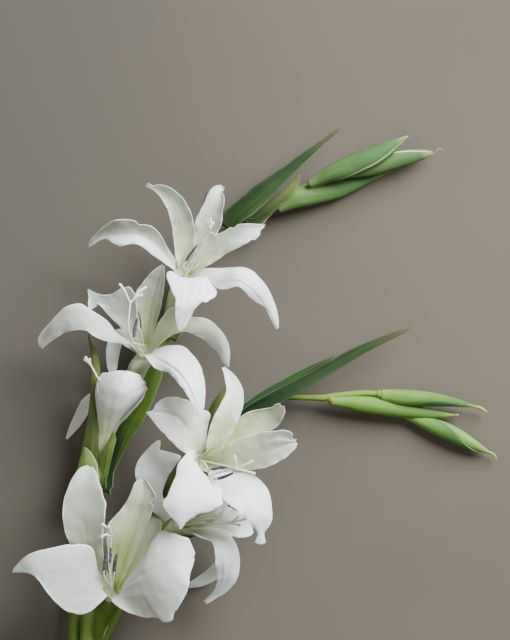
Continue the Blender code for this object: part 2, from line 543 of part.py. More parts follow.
def half_width(spec, claw, t):
    """Half the width at a share t of the length: a narrow claw, the widest place at peak, then the tip."""
    half = spec["width"] / 2
    if t < spec["peak"]:
        return claw + (half - claw) * math.sin(0.5 * math.pi * t / spec["peak"]) ** CLAW_FLARE
    past = (t - spec["peak"]) / (1 - spec["peak"])
    return max(half * math.cos(0.5 * math.pi * past) ** spec["blunt"], TIP_HALF_WIDTH)


def blade_middle(line, facings, spec, claw, columns):
    """The rows of places half way through a blade's thickness: hollowed, folded and waved."""
    rows = len(line) - 1
    ways = tangents(line)
    middle = []
    for i in range(rows + 1):
        t = i / rows
        facing = (facings[i] - ways[i] * facings[i].dot(ways[i])).normalized()
        side = ways[i].cross(facing).normalized()
        half = half_width(spec, claw, t)
        left, right = between(spec["margins"], t) if spec["margins"] else (half, half)
        ease = math.sin(math.pi * min(t * WAVE_REACH, 1.0)) ** 0.5 if i < rows else 0.0
        row = []
        for j in range(columns + 1):
            s = 2 * j / columns - 1
            half = left if s < 0 else right
            turn = 2 * math.pi * spec["turns"] * t + spec["phase"] + (MARGIN_SKEW if s > 0 else 0)
            lift = 2 * spec["cup"] * half * s * s + spec["fold"] * half * abs(s)
            lift += spec["wave"] * math.sin(turn) * abs(s) ** 1.5 * ease
            row.append(Vector(line[i][:3]) + side * half * s + facing * lift)
        middle.append(row)
    return middle


def blade_skins(middle, thickness):
    """A blade's upper and lower places, half its thickness to each side and never below the surface."""
    rows = len(middle) - 1
    columns = len(middle[0]) - 1
    top = []
    bottom = []
    for i in range(rows + 1):
        for j in range(columns + 1):
            along = middle[min(i + 1, rows)][j] - middle[max(i - 1, 0)][j]
            across = middle[i][min(j + 1, columns)] - middle[i][max(j - 1, 0)]
            normal = across.cross(along).normalized()
            place = middle[i][j].copy()
            place.z = max(place.z, thickness / 2 + SURFACE_CLEARANCE)
            for skin, half in ((top, thickness / 2), (bottom, -thickness / 2)):
                point = place + normal * half
                point.z = max(point.z, 0.0)
                skin.append(point)
    return top, bottom


def blade_faces(rows, columns):
    """Both skins split into the same triangles, and the rim between them."""
    wide = columns + 1
    count = (rows + 1) * wide
    faces = []
    for i in range(rows):
        for j in range(columns):
            a = i * wide + j
            b, c, d = a + 1, a + wide + 1, a + wide
            pairs = [(a, b, c), (a, c, d)] if (i + j) % 2 else [(a, b, d), (b, c, d)]
            for pair in pairs:
                faces.append(pair)
                faces.append(tuple(count + v for v in reversed(pair)))
    rim = list(range(wide))
    rim += [i * wide + columns for i in range(1, rows + 1)]
    rim += [rows * wide + j for j in range(columns - 1, -1, -1)]
    rim += [i * wide for i in range(rows - 1, 0, -1)]
    for p, q in zip(rim, rim[1:] + rim[:1]):
        faces.append((q, p, count + p))
        faces.append((q, count + p, count + q))
    return faces


def make_blade(name, line, facings, spec, claw, columns, thickness, kind):
    """A closed thin blade along a line."""
    middle = blade_middle(line, facings, spec, claw, columns)
    top, bottom = blade_skins(middle, thickness)
    return mesh_object(name, top + bottom, blade_faces(len(line) - 1, columns), kind)


def flower_frame(flower):
    return Vector(flower["throat"]), Vector(flower["axis"]).normalized()


def make_tepal(name, flower, spec):
    """A tepal from the rim of the throat, first along the flower's tube and then out to its tip."""
    throat, axis = flower_frame(flower)
    out = Vector(spec["out"] or Vector(spec["points"][0]) - throat)
    out = (out - axis * out.dot(axis)).normalized()
    start = throat - axis * THROAT_DEPTH * CLAW_DEPTH + out * (THROAT_RADIUS - CLAW_INSET)
    line = smooth_line([tuple(start)] + spec["points"], TEPAL_ROWS)
    face = Vector(spec["face"]).normalized()
    facings = []
    for i in range(TEPAL_ROWS + 1):
        share = min(i / TEPAL_ROWS / TURN_SHARE, 1.0)
        share = share * share * (3 - 2 * share)
        facings.append((-out).lerp(face, share).normalized())
    claw = THROAT_RADIUS * CLAW_WIDTH
    return make_blade(name, line, facings, spec, claw, TEPAL_COLUMNS, TEPAL_THICKNESS, "bloom")


def tube_radius(share):
    return TUBE_RADIUS * min(TUBE_START + share, 1.0)


def make_tube(name, flower):
    """The flower's tube, from the stem to a throat with a hollow mouth."""
    throat, axis = flower_frame(flower)
    line = smooth_line([*flower["tube"], tuple(throat - axis * THROAT_DEPTH)], TUBE_ROWS)
    ways = tangents(line)
    ways[-1] = axis
    rings = []
    for i in range(TUBE_ROWS + 1):
        share = i / TUBE_ROWS
        flare = (THROAT_RADIUS - THROAT_WALL - TUBE_RADIUS) * share ** 3
        rings.append((Vector(line[i]), ways[i], tube_radius(share) + flare))
    floor = throat - axis * (THROAT_DEPTH - THROAT_FLOOR)
    rings.append((throat - axis * (MOUTH_DROP + RIM_HEIGHT), axis, THROAT_RADIUS))
    rings.append((throat - axis * MOUTH_DROP, axis, THROAT_RADIUS - RIM_WIDTH))
    rings.append((floor, axis, THROAT_FLOOR_RADIUS))
    verts = []
    for place, way, radius in rings:
        side, up = frame_at(way)
        for k in range(TUBE_SIDES):
            angle = 2 * math.pi * k / TUBE_SIDES
            verts.append(place + side * math.cos(angle) * radius + up * math.sin(angle) * radius)
    return mesh_object(name, verts, ring_walls(len(rings), TUBE_SIDES), "bloom")


def make_cup(name, flower):
    """The half-open flower: its tube, and a hollow cup with a lobed rim."""
    tube = smooth_line(flower["tube"], CUP_TUBE_ROWS)
    tube_ways = tangents([*tube, CUP[0]])
    rings = []
    for i, place in enumerate(tube):
        radius = tube_radius(i / CUP_TUBE_ROWS)
        rings.append((Vector(place), tube_ways[i], radius, radius, 0.0))
    ways = tangents(CUP)
    last = len(CUP) - 1
    lobes = [CUP_LOBE if i == last else 0.0 for i in range(last + 1)]
    for i, (x, y, z, wide, high) in enumerate(CUP):
        rings.append((Vector((x, y, z)), ways[i], wide, high, lobes[i]))
    for i in range(last, CUP_FLOOR_RING - 1, -1):
        x, y, z, wide, high = CUP[i]
        rise = ways[i] * (TEPAL_THICKNESS if i == CUP_FLOOR_RING else 0.0)
        rings.append((Vector((x, y, z)) + rise, ways[i], wide - CUP_WALL, high - CUP_WALL, lobes[i]))
    verts = []
    for place, way, wide, high, lobe in rings:
        side, up = frame_at(way)
        for k in range(CUP_SIDES):
            angle = 2 * math.pi * k / CUP_SIDES
            point = place + side * math.cos(angle) * wide + up * math.sin(angle) * high
            verts.append(point + way * lobe * math.cos(CUP_LOBES * (angle - CUP_LOBE_TURN)))
    return mesh_object(name, verts, ring_walls(len(rings), CUP_SIDES), "bloom")


def make_flower(letter):
    flower = FLOWERS[letter]
    pieces = [make_cup("cup", flower) if letter == "f" else make_tube("tube", flower)]
    for index, spec in enumerate(flower["tepals"]):
        pieces.append(make_tepal("tepal%d" % index, flower, spec))
    return join_union("bloom_" + letter, pieces)


def rod(name, points, radius_at, rows, kind):
    """A thin round rod whose radius follows radius_at, a function of the share of its length."""
    radii = [radius_at(i / rows) for i in range(rows + 1)]
    return swept(name, smooth_line(points, rows), radii, ROUND_SIDES, kind)


def throat_seat(flower, height):
    """A place on the flower's axis, this far above the bottom of its throat."""
    throat, axis = flower_frame(flower)
    return throat - axis * (THROAT_DEPTH - THROAT_FLOOR - height)


def anther_radius(past):
    """The radius of an anther at a share of its own length: blunt at both ends."""
    across = math.sin(math.pi * min(max(0.2 + 0.75 * past, 0), 1))
    return max(ANTHER_RADIUS * across ** 0.5, ANTHER_TIP_RADIUS)


def make_stamens(letter):
    """Three filaments from the throat, each with its anther along the end."""
    flower = FLOWERS[letter]
    foot = throat_seat(flower, GAP)
    above = throat_seat(flower, GAP + FILAMENT_RISE)
    pieces = []
    for index, (start, end) in enumerate(ANTHERS[letter]):
        start = Vector(start)
        end = Vector(end)
        reach = (above - foot).length + (start - above).length
        anther_from = reach / (reach + (end - start).length)

        def radius_at(t, anther_from=anther_from):
            if t < anther_from - 0.02:
                return FILAMENT_RADIUS
            return anther_radius((t - anther_from) / (1 - anther_from))

        points = [tuple(foot), tuple(above.lerp(start, FILAMENT_SPREAD)), tuple(start), tuple(end)]
        pieces.append(rod("filament%d" % index, points, radius_at, FILAMENT_ROWS, "stamens"))
    return join_union("stamens_" + letter, pieces)


def make_style(letter):
    """The style from the throat, clear of the stamens, with its three branches."""
    flower = FLOWERS[letter]
    axis = Vector(flower["axis"]).normalized()
    path, ends = STYLES[letter]
    starts = [Vector(start) for start, end in ANTHERS[letter]]
    aside = Vector(path[0]) - sum(starts, Vector()) / len(starts)
    aside = (aside - axis * aside.dot(axis)).normalized()
    foot = throat_seat(flower, GAP) + aside * STYLE_SEAT_OFFSET
    high = Vector(path[-1])
    way = (high - Vector(path[-2])).normalized()
    tip = tuple(high + way * STYLE_RADIUS)
    pieces = [rod("stalk", [tuple(foot), *path, tip], lambda t: STYLE_RADIUS, STYLE_ROWS, "style")]
    for index, end in enumerate(ends):
        end = Vector(end)
        bend = high.lerp(end, 0.5) + way * BRANCH_BEND
        points = [tuple(high - way * BRANCH_BEND), tuple(bend), tuple(end)]
        pieces.append(rod("branch%d" % index, points, lambda t: BRANCH_RADIUS * (0.75 + 0.5 * t), 3, "style"))
    return join_union("style_" + letter, pieces)


def make_bract(name, spec):
    line = smooth_line(spec["points"], BRACT_ROWS)
    facings = [Vector((0, 0, 1))] * (BRACT_ROWS + 1)
    claw = spec["width"] / 2 * BRACT_FOOT
    return make_blade(name, line, facings, spec, claw, BRACT_COLUMNS, BRACT_THICKNESS, spec["colour"])


def bud_share(peak, t):
    """The share of its full width that a bud has at t: a narrow foot, full at peak, then a point."""
    if t < peak:
        return BUD_FOOT + (1 - BUD_FOOT) * math.sin(0.5 * math.pi * t / peak)
    return max(math.cos(0.5 * math.pi * (t - peak) / (1 - peak)) ** 0.9, BUD_TIP)


def make_bud(name, spec):
    """A closed bud in its bract: a spindle."""
    line = smooth_line(spec["points"], BUD_ROWS)
    radii = [spec["width"] / 2 * bud_share(spec["peak"], i / BUD_ROWS) for i in range(BUD_ROWS + 1)]
    return swept(name, line, radii, BUD_SIDES, "bud", squash=spec["height"] / spec["width"], flat_base=True)


def make_stem():
    """The stalk and both arms as one body, forked below the flowers. Its cut end is straight and flat."""
    straight = LEFT_ARM[:3]
    past = straight[-1][1] + STEM_RADIUS
    left = straight + [p for p in smooth_line(LEFT_ARM, LEFT_ARM_ROWS) if p[1] > past]
    right = smooth_line(RIGHT_ARM, RIGHT_ARM_ROWS)
    pieces = []
    for line in (left, right):
        pieces.append(swept("arm", line, [p[3] for p in line], STEM_SIDES, "stem", flat_base=True))
    return join_union("stem", pieces)


def main():
    clear_scene()
    make_stem()
    for letter in FLOWERS:
        make_flower(letter)
        make_stamens(letter)
        make_style(letter)
    for name, spec in BRACTS.items():
        make_bract(name, spec)
    for name, spec in BUDS.items():
        make_bud(name, spec)
    for obj in bpy.context.scene.objects:
        obj.data.shade_smooth()
        obj.data.set_sharp_from_angle(angle=SHARP_ANGLE)


main()
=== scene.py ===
# A white gladiolus with two flowering arms, laid on a taupe surface and seen from straight above.
# Places are millimetres on that surface: x to the right, y along the stem towards the buds, z up.
# toFrame moves them to the part's own origin, under the stem near its cut end, and turns them into metres.
import math

import bpy
import numpy as np
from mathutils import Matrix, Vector, noise


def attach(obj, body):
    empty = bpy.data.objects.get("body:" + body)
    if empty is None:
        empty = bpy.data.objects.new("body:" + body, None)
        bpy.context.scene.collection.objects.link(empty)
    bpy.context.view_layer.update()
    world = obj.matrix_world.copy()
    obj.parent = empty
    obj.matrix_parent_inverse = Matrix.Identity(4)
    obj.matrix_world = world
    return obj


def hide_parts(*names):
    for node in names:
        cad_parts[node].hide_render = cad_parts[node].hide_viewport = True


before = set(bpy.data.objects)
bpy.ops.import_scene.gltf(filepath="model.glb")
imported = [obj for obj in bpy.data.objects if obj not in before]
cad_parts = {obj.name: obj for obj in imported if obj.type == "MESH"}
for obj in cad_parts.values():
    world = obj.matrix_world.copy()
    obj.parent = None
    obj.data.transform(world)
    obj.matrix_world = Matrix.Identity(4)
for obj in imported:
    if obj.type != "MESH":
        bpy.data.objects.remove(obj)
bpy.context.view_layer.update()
print("frame loaded:", len(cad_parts), "nodes")

restSpot = np.array([32.0, -98.0, 0.0])
millimetre = 0.001
upwards = np.array([0.0, 0.0, 1.0])


# Shared shapes

def toFrame(places):
    return (np.asarray(places, float) - restSpot) * millimetre


def smoothPath(points, count):
    # even steps along a smooth curve through the given points, with any radius beside them
    knots = np.array(points, float)
    knots = np.vstack([2 * knots[0] - knots[1], knots, 2 * knots[-1] - knots[-2]])
    fine = []
    for i in range(1, len(knots) - 2):
        before, start, end, after = knots[i - 1:i + 3]
        for u in np.linspace(0, 1, 24, endpoint=False):
            fine.append(0.5 * (2 * start + (end - before) * u
                               + (2 * before - 5 * start + 4 * end - after) * u ** 2
                               + (3 * start - before - 3 * end + after) * u ** 3))
    fine.append(knots[-2])
    fine = np.array(fine)
    steps = np.linalg.norm(np.diff(fine[:, :3], axis=0), axis=1)
    lengths = np.concatenate([[0], np.cumsum(steps)])
    wanted = np.linspace(0, lengths[-1], count + 1)
    return np.column_stack([np.interp(wanted, lengths, column) for column in fine.T])


def softTable(rows, shares, softness=0.035):
    # the columns of a table at each share of the length, with its corners rounded
    first, *columns = np.array(rows, float).T
    result = []
    for column in columns:
        values = np.zeros(len(shares))
        for shift, weight in ((-1.5, 0.12), (-0.75, 0.23), (0, 0.3), (0.75, 0.23), (1.5, 0.12)):
            values += weight * np.interp(clipped(shares + shift * softness), first, column)
        result.append(values)
    return result


def clipped(values):
    return np.clip(values, 0, 1)


def eased(share):
    # from 0 to 1 with a soft start and a soft end
    share = clipped(share)
    return share * share * (3 - 2 * share)


def hill(at, middle, width):
    # 1 at the middle, and less and less beside it
    return np.exp(-((at - middle) / width) ** 2)


def spots(t, s, places):
    # soft spots, each with its share of the length, its reach, its place across, its width and its amount
    total = np.zeros(t.shape)
    for at, reach, where, width, amount in places:
        total += amount * hill(s, where, width) * hill(t, at, reach)
    return total


def unit(rows):
    return rows / np.maximum(np.linalg.norm(rows, axis=-1, keepdims=True), 1e-9)


def pathWays(line):
    return unit(np.gradient(line[:, :3], axis=0))


def acrossFrames(ways):
    # a level side and an upward way across each step of a path
    sides = np.cross(ways, upwards)
    sides[np.linalg.norm(sides, axis=1) < 0.05] = [1.0, 0.0, 0.0]
    sides = unit(sides)
    return sides, unit(np.cross(sides, ways))


def besideLine(line, side, up, wide, high):
    # rows of places beside each step of a line, so far to its side and so far up
    return line[:, None, :3] + side[:, None, :] * wide[..., None] + up[:, None, :] * high[..., None]


def unevenness(places, scale, seed):
    # a smooth random height at each place, the same in every run
    flat = places.reshape(-1, 3) / scale
    shift = Vector((seed * 7.31, seed * 3.17, seed * 5.03))
    heights = [noise.noise(Vector(place) + shift) for place in flat]
    return np.array(heights).reshape(places.shape[:-1])


def gridFaces(rows, columns, closed=False):
    wide = columns if closed else columns + 1
    i, j = np.meshgrid(np.arange(rows), np.arange(columns), indexing="ij")
    a = i * wide + j
    b = i * wide + (j + 1) % wide
    return np.stack([a, b, b + wide, a + wide], axis=-1).reshape(-1, 4)


def gridNormals(middle):
    along = np.gradient(middle, axis=0)
    across = np.gradient(middle, axis=1)
    return unit(np.cross(across, along))


def tintGrid(shape, *amounts):
    # up to three amounts at each place, between 0 and 1, which the materials read
    tint = np.zeros((*shape, 4))
    for channel, amount in enumerate(amounts):
        tint[..., channel] = clipped(amount)
    return tint


def skinPart(middle, normals, halfThick, uv, tint):
    # both skins of a thin blade about its middle places, and the rim that joins them
    rows, columns = middle.shape[0] - 1, middle.shape[1] - 1
    wide = columns + 1
    place = middle.copy()
    place[..., 2] = np.maximum(place[..., 2], halfThick + 0.02)
    offset = normals * halfThick[..., None]
    verts = np.vstack([(place + offset).reshape(-1, 3), (place - offset).reshape(-1, 3)])
    verts[:, 2] = np.maximum(verts[:, 2], 0)
    count = (rows + 1) * wide
    upper = gridFaces(rows, columns)
    rim = list(range(wide))
    rim += [i * wide + columns for i in range(1, rows + 1)]
    rim += [rows * wide + j for j in range(columns - 1, -1, -1)]
    rim += [i * wide for i in range(rows - 1, 0, -1)]
    rim = np.array(rim)
    after = np.roll(rim, -1)
    edge = np.stack([after, rim, count + rim, count + after], axis=-1)
    return dict(verts=verts, faces=np.vstack([upper, upper[:, ::-1] + count, edge]),
                uv=np.vstack([uv.reshape(-1, 2)] * 2), tint=np.vstack([tint.reshape(-1, 4)] * 2))


def ringAngles(sides):
    return np.linspace(0, 2 * math.pi, sides, endpoint=False)


def ringGrain(angles, rings):
    u, v = np.meshgrid(angles / (2 * math.pi), np.linspace(0, 1, rings))
    return np.stack([u, v], axis=-1).reshape(-1, 2)


def rodPart(line, radii, sides, squash=1.0, lobes=0, lobeDepth=0.0, green=None, lowest=None):
    # a closed rod along a line, with a radius, and how green it is, for each step
    rows = len(line) - 1
    angles = ringAngles(sides)
    girth = radii[:, None] * (1 + lobeDepth * np.cos(lobes * angles))
    side, up = acrossFrames(pathWays(line))
    verts = besideLine(line, side, up, girth * np.cos(angles), girth * np.sin(angles) * squash)
    verts = verts.reshape(-1, 3)
    k = np.arange(sides)
    after = (k + 1) % sides
    top = rows * sides
    first, last = np.full(sides, len(verts)), np.full(sides, len(verts) + 1)
    caps = [np.stack([after, k, first, first], axis=-1),
            np.stack([top + k, top + after, last, last], axis=-1)]
    verts = np.vstack([verts, line[0, :3], line[-1, :3]])
    if lowest is not None:
        verts[:, 2] = np.maximum(verts[:, 2], lowest)
    tint = np.zeros((len(verts), 4))
    if green is not None:
        tint[:, 0] = np.concatenate([np.repeat(green, sides), [green[0], green[-1]]])
    return dict(verts=verts, faces=np.vstack([gridFaces(rows, sides, closed=True), *caps]),
                uv=np.vstack([ringGrain(angles, rows + 1), [[0.5, 0], [0.5, 1]]]), tint=tint)


def addObject(name, data):
    thing = bpy.data.objects.new(name, data)
    bpy.context.scene.collection.objects.link(thing)
    return thing


def makePiece(name, parts, materials, slot, *nodes):
    # one object from its parts, in metres, standing for the named nodes of the frame
    faces, kinds = [], []
    start = 0
    for part in parts:
        faces += [tuple(dict.fromkeys(face)) for face in (part["faces"] + start).tolist()]
        kinds += [part.get("kind", 0)] * len(part["faces"])
        start += len(part["verts"])
    verts, uvs, tints = (np.vstack([part[key] for part in parts]) for key in ("verts", "uv", "tint"))
    mesh = bpy.data.meshes.new(name)
    mesh.from_pydata(toFrame(verts).tolist(), [], faces)
    for material in materials:
        mesh.materials.append(material)
    mesh.polygons.foreach_set("material_index", kinds)
    mesh.polygons.foreach_set("use_smooth", [True] * len(faces))
    corners = np.empty(len(mesh.loops), np.int32)
    mesh.loops.foreach_get("vertex_index", corners)
    layer = mesh.uv_layers.new(name="grain")
    layer.data.foreach_set("uv", uvs[corners].astype(np.float32).ravel())
    tint = mesh.color_attributes.new(name="tint", type="FLOAT_COLOR", domain="POINT")
    tint.data.foreach_set("color", tints.astype(np.float32).ravel())
    mesh.update()
    piece = addObject(name, mesh)
    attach(piece, "root")
    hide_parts(*nodes)
    return piece


# Materials

def startMaterial(name):
    material = bpy.data.materials.new(name)
    material.use_nodes = True
    return material, material.node_tree, material.node_tree.nodes["Principled BSDF"]


def setInputs(tree, node, values):
    # each input is set to a number or a colour, or joined to another node's output
    for key, value in values.items():
        socket = node.inputs[key]
        if isinstance(value, bpy.types.NodeSocket):
            tree.links.new(value, socket)
        elif value is not None:
            socket.default_value = (*value, 1.0) if socket.type == "RGBA" else value


def addNode(tree, kind, **values):
    node = tree.nodes.new(kind)
    setInputs(tree, node, values)
    return node


def scaled(tree, value, factor, added=0.0):
    # the value times a factor, and something added to it
    node = tree.nodes.new("ShaderNodeMath")
    node.operation = "MULTIPLY_ADD"
    setInputs(tree, node, {0: value, 1: factor, 2: added})
    return node.outputs[0]


def mixColour(tree, share, first, second):
    node = tree.nodes.new("ShaderNodeMix")
    node.data_type = "RGBA"
    setInputs(tree, node, {0: share, 6: first, 7: second})
    return node.outputs[2]


def rampOf(tree, source, low, high):
    node = tree.nodes.new("ShaderNodeMapRange")
    node.interpolation_type = "SMOOTHSTEP"
    setInputs(tree, node, {"Value": source, "From Min": low, "From Max": high})
    return node.outputs["Result"]


def objectPlace(tree):
    return tree.nodes.new("ShaderNodeTexCoord").outputs["Object"]


def grainPlace(tree, across, along):
    # the piece's own across and along coordinates, stretched by so many
    uv = tree.nodes.new("ShaderNodeUVMap")
    uv.uv_map = "grain"
    stretch = addNode(tree, "ShaderNodeMapping", Vector=uv.outputs["UV"], Scale=(across, along, 1.0))
    return stretch.outputs["Vector"]


def noiseOf(tree, place, scale, detail, roughness=0.5):
    node = addNode(tree, "ShaderNodeTexNoise", Vector=place, Scale=scale, Detail=detail, Roughness=roughness)
    return node.outputs["Fac"]


def bumpOf(tree, height, strength, depth, under=None):
    node = addNode(tree, "ShaderNodeBump", Height=height, Strength=strength, Distance=depth, Normal=under)
    return node.outputs["Normal"]


bandStep = 0.314  # one band of the wave texture


def veinLines(tree, count, wander):
    # thin lines that run lengthwise: a wave of bands across the piece
    lines = addNode(tree, "ShaderNodeTexWave", Vector=grainPlace(tree, count * bandStep, 1.6), Scale=1.0)
    setInputs(tree, lines, {"Distortion": wander, "Detail": 2.0, "Detail Scale": 1.3})
    lines.bands_direction = "X"
    return rampOf(tree, lines.outputs["Fac"], 0.45, 1.0)


def tintOf(tree):
    attribute = tree.nodes.new("ShaderNodeAttribute")
    attribute.attribute_name = "tint"
    parts = addNode(tree, "ShaderNodeSeparateColor", Color=attribute.outputs["Color"])
    return parts.outputs["Red"], parts.outputs["Green"], parts.outputs["Blue"]


petalFinish = {
    "white": (0.95, 0.96, 0.95),
    "streak": (0.80, 0.82, 0.78),
    # painted shade: the dark dull green that stands in for shade on the tepals
    "warm": (0.36, 0.375, 0.30),
    "pale": (0.60, 0.66, 0.40),
    "throat": (0.34, 0.44, 0.10),
    # painted highlight: the thin margins go back to this white, over the painted shade and the green
    "edge": (0.95, 0.955, 0.945),
    "streaks": (9.0, 1.3),       # how often across and along
    "streakShare": 0.55,
    "veins": 30,
    "veinWander": 2.5,
    "veinShare": 0.16,
    "veinDepth": 0.00008,
    "cells": 900.0,
    "grainDepth": 0.00004,
    "roughness": (0.40, 0.56),
    "glow": (0.90, 0.93, 0.80),  # light that comes through
    "glowShare": 0.12,
    "surface": {"Specular IOR Level": 0.32, "Subsurface Weight": 0.25, "Subsurface Radius": (1.0, 0.95, 0.75),
                "Subsurface Scale": 0.0012, "Sheen Weight": 0.12, "Sheen Roughness": 0.4},
}


def petalMaterial():
    look = petalFinish
    material, tree, shader = startMaterial("petalWhite")
    green, warm, edge = tintOf(tree)
    veins = veinLines(tree, look["veins"], look["veinWander"])
    streaks = rampOf(tree, noiseOf(tree, grainPlace(tree, *look["streaks"]), 1.0, 4.0, 0.6), 0.35, 0.75)
    cells = noiseOf(tree, objectPlace(tree), look["cells"], 3.0)
    colour = mixColour(tree, scaled(tree, streaks, look["streakShare"]), look["white"], look["streak"])
    colour = mixColour(tree, scaled(tree, veins, look["veinShare"]), colour, look["streak"])
    # painted shade, in spots and over whole tepals
    colour = mixColour(tree, warm, colour, look["warm"])
    colour = mixColour(tree, rampOf(tree, green, 0.0, 0.55), colour, look["pale"])
    lined = scaled(tree, green, scaled(tree, veins, 0.4, 0.75))  # greener along the veins
    colour = mixColour(tree, rampOf(tree, lined, 0.35, 1.0), colour, look["throat"])
    # painted highlight along the thin margins
    colour = mixColour(tree, edge, colour, look["edge"])
    low, high = look["roughness"]
    fine = bumpOf(tree, cells, 0.4, look["grainDepth"], bumpOf(tree, veins, 0.35, look["veinDepth"]))
    setInputs(tree, shader, {"Base Color": colour, "Roughness": scaled(tree, cells, high - low, low),
                             "Normal": fine, **look["surface"]})
    glow = addNode(tree, "ShaderNodeBsdfTranslucent", Color=look["glow"], Normal=fine)
    both = tree.nodes.new("ShaderNodeMixShader")
    setInputs(tree, both, {0: look["glowShare"], 1: shader.outputs["BSDF"], 2: glow.outputs["BSDF"]})
    tree.links.new(both.outputs[0], tree.nodes["Material Output"].inputs["Surface"])
    return material


leafGrain = {
    "streaks": (14.0, 1.1),      # how often across and along
    "clouds": 75.0,
    "cloudShare": 0.45,
    "cells": 1400.0,
    "ribWander": 1.2,
    "ribShare": 0.30,
    "ribDepth": 0.00012,
    "grainDepth": 0.00004,
    "roughnessRange": 0.22,
    "surface": {"Specular IOR Level": 0.18, "Subsurface Radius": (0.5, 1.0, 0.25),
                "Subsurface Scale": 0.0006},
}


def leafMaterial(name, look):
    # green parts: fine ribs along them, a pale margin, a brown tip and cloudy darker places
    material, tree, shader = startMaterial(name)
    margin, tip, dark = tintOf(tree)
    ribs = veinLines(tree, look["ribs"], leafGrain["ribWander"])
    streaks = noiseOf(tree, grainPlace(tree, *leafGrain["streaks"]), 1.0, 5.0, 0.62)
    place = objectPlace(tree)
    clouds = rampOf(tree, noiseOf(tree, place, leafGrain["clouds"], 3.0), 0.4, 0.75)
    cells = noiseOf(tree, place, leafGrain["cells"], 2.0)
    colour = mixColour(tree, rampOf(tree, streaks, 0.32, 0.72), look["body"], look["light"])
    colour = mixColour(tree, scaled(tree, clouds, leafGrain["cloudShare"]), colour, look["deep"])
    colour = mixColour(tree, scaled(tree, ribs, leafGrain["ribShare"]), colour, look["light"])
    colour = mixColour(tree, dark, colour, look["deep"])
    colour = mixColour(tree, margin, colour, look["margin"])
    colour = mixColour(tree, tip, colour, look["tip"])
    fine = bumpOf(tree, cells, 0.3, leafGrain["grainDepth"], bumpOf(tree, ribs, 0.5, leafGrain["ribDepth"]))
    rough = scaled(tree, streaks, leafGrain["roughnessRange"], look["roughness"])
    setInputs(tree, shader, {"Base Color": colour, "Roughness": rough, "Subsurface Weight": look["soft"],
                             "Normal": fine, **leafGrain["surface"]})
    return material


leafFinishes = {
    "bractGreen": {"body": (0.135, 0.205, 0.04), "light": (0.2, 0.3, 0.068), "deep": (0.03, 0.06, 0.012),
        "margin": (0.42, 0.48, 0.2), "tip": (0.13, 0.105, 0.04), "ribs": 16, "roughness": 0.44, "soft": 0.06},
    "bractBright": {"body": (0.07, 0.135, 0.012), "light": (0.11, 0.19, 0.02), "deep": (0.012, 0.036, 0.018),
        "margin": (0.4, 0.5, 0.26), "tip": (0.13, 0.12, 0.04), "ribs": 20, "roughness": 0.42, "soft": 0.08},
    "bractOlive": {"body": (0.08, 0.102, 0.023), "light": (0.145, 0.175, 0.045),
        "deep": (0.016, 0.034, 0.012), "margin": (0.32, 0.34, 0.18), "tip": (0.09, 0.07, 0.035), "ribs": 14,
        "roughness": 0.46, "soft": 0.04},
    "bractDark": {"body": (0.014, 0.036, 0.009), "light": (0.034, 0.068, 0.018),
        "deep": (0.006, 0.017, 0.006), "margin": (0.15, 0.2, 0.1), "tip": (0.085, 0.07, 0.032), "ribs": 22,
        "roughness": 0.46, "soft": 0.03},
    "budLeft": {"body": (0.067, 0.138, 0.034), "light": (0.103, 0.194, 0.052), "deep": (0.03, 0.08, 0.026),
        "margin": (0.56, 0.66, 0.44), "tip": (0.3, 0.34, 0.12), "ribs": 26, "roughness": 0.44, "soft": 0.08},
    "budRight": {"body": (0.1, 0.215, 0.03), "light": (0.155, 0.3, 0.05), "deep": (0.03, 0.085, 0.022),
        "margin": (0.48, 0.62, 0.3), "tip": (0.3, 0.36, 0.09), "ribs": 26, "roughness": 0.44, "soft": 0.08},
    "stemGreen": {"body": (0.12, 0.19, 0.022), "light": (0.2, 0.29, 0.045), "deep": (0.05, 0.08, 0.018),
        "margin": (0.34, 0.4, 0.15), "tip": (0.22, 0.19, 0.08), "ribs": 20, "roughness": 0.44, "soft": 0.04},
}

threadFinish = {
    "white": (0.74, 0.75, 0.66),
    "cream": (0.62, 0.66, 0.44),
    "creamShare": 0.35,
    "surface": {"Roughness": 0.42, "Subsurface Weight": 0.3, "Subsurface Radius": (1.0, 0.95, 0.7),
                "Subsurface Scale": 0.0008},
}
antherFinish = {"purple": (0.05, 0.036, 0.055), "dust": (0.15, 0.115, 0.15), "surface": {"Roughness": 0.75}}


def threadMaterial():
    look = threadFinish
    material, tree, shader = startMaterial("threadWhite")
    grain = noiseOf(tree, objectPlace(tree), 1500.0, 3.0)
    colour = mixColour(tree, scaled(tree, grain, look["creamShare"]), look["white"], look["cream"])
    colour = mixColour(tree, tintOf(tree)[0], colour, look["cream"])
    setInputs(tree, shader, {"Base Color": colour, "Normal": bumpOf(tree, grain, 0.4, 0.00006),
                             **look["surface"]})
    return material


def antherMaterial():
    look = antherFinish
    material, tree, shader = startMaterial("antherPurple")
    place = objectPlace(tree)
    pollen = addNode(tree, "ShaderNodeTexVoronoi", Vector=place, Scale=4200.0).outputs["Distance"]
    dusty = rampOf(tree, noiseOf(tree, place, 700.0, 4.0), 0.4, 0.7)
    setInputs(tree, shader, {"Base Color": mixColour(tree, dusty, look["purple"], look["dust"]),
                             "Normal": bumpOf(tree, pollen, 0.6, 0.00012), **look["surface"]})
    return material


petal = petalMaterial()
thread = threadMaterial()
anther = antherMaterial()
leaves = {name: leafMaterial(name, look) for name, look in leafFinishes.items()}
print("materials made")


# Tepals

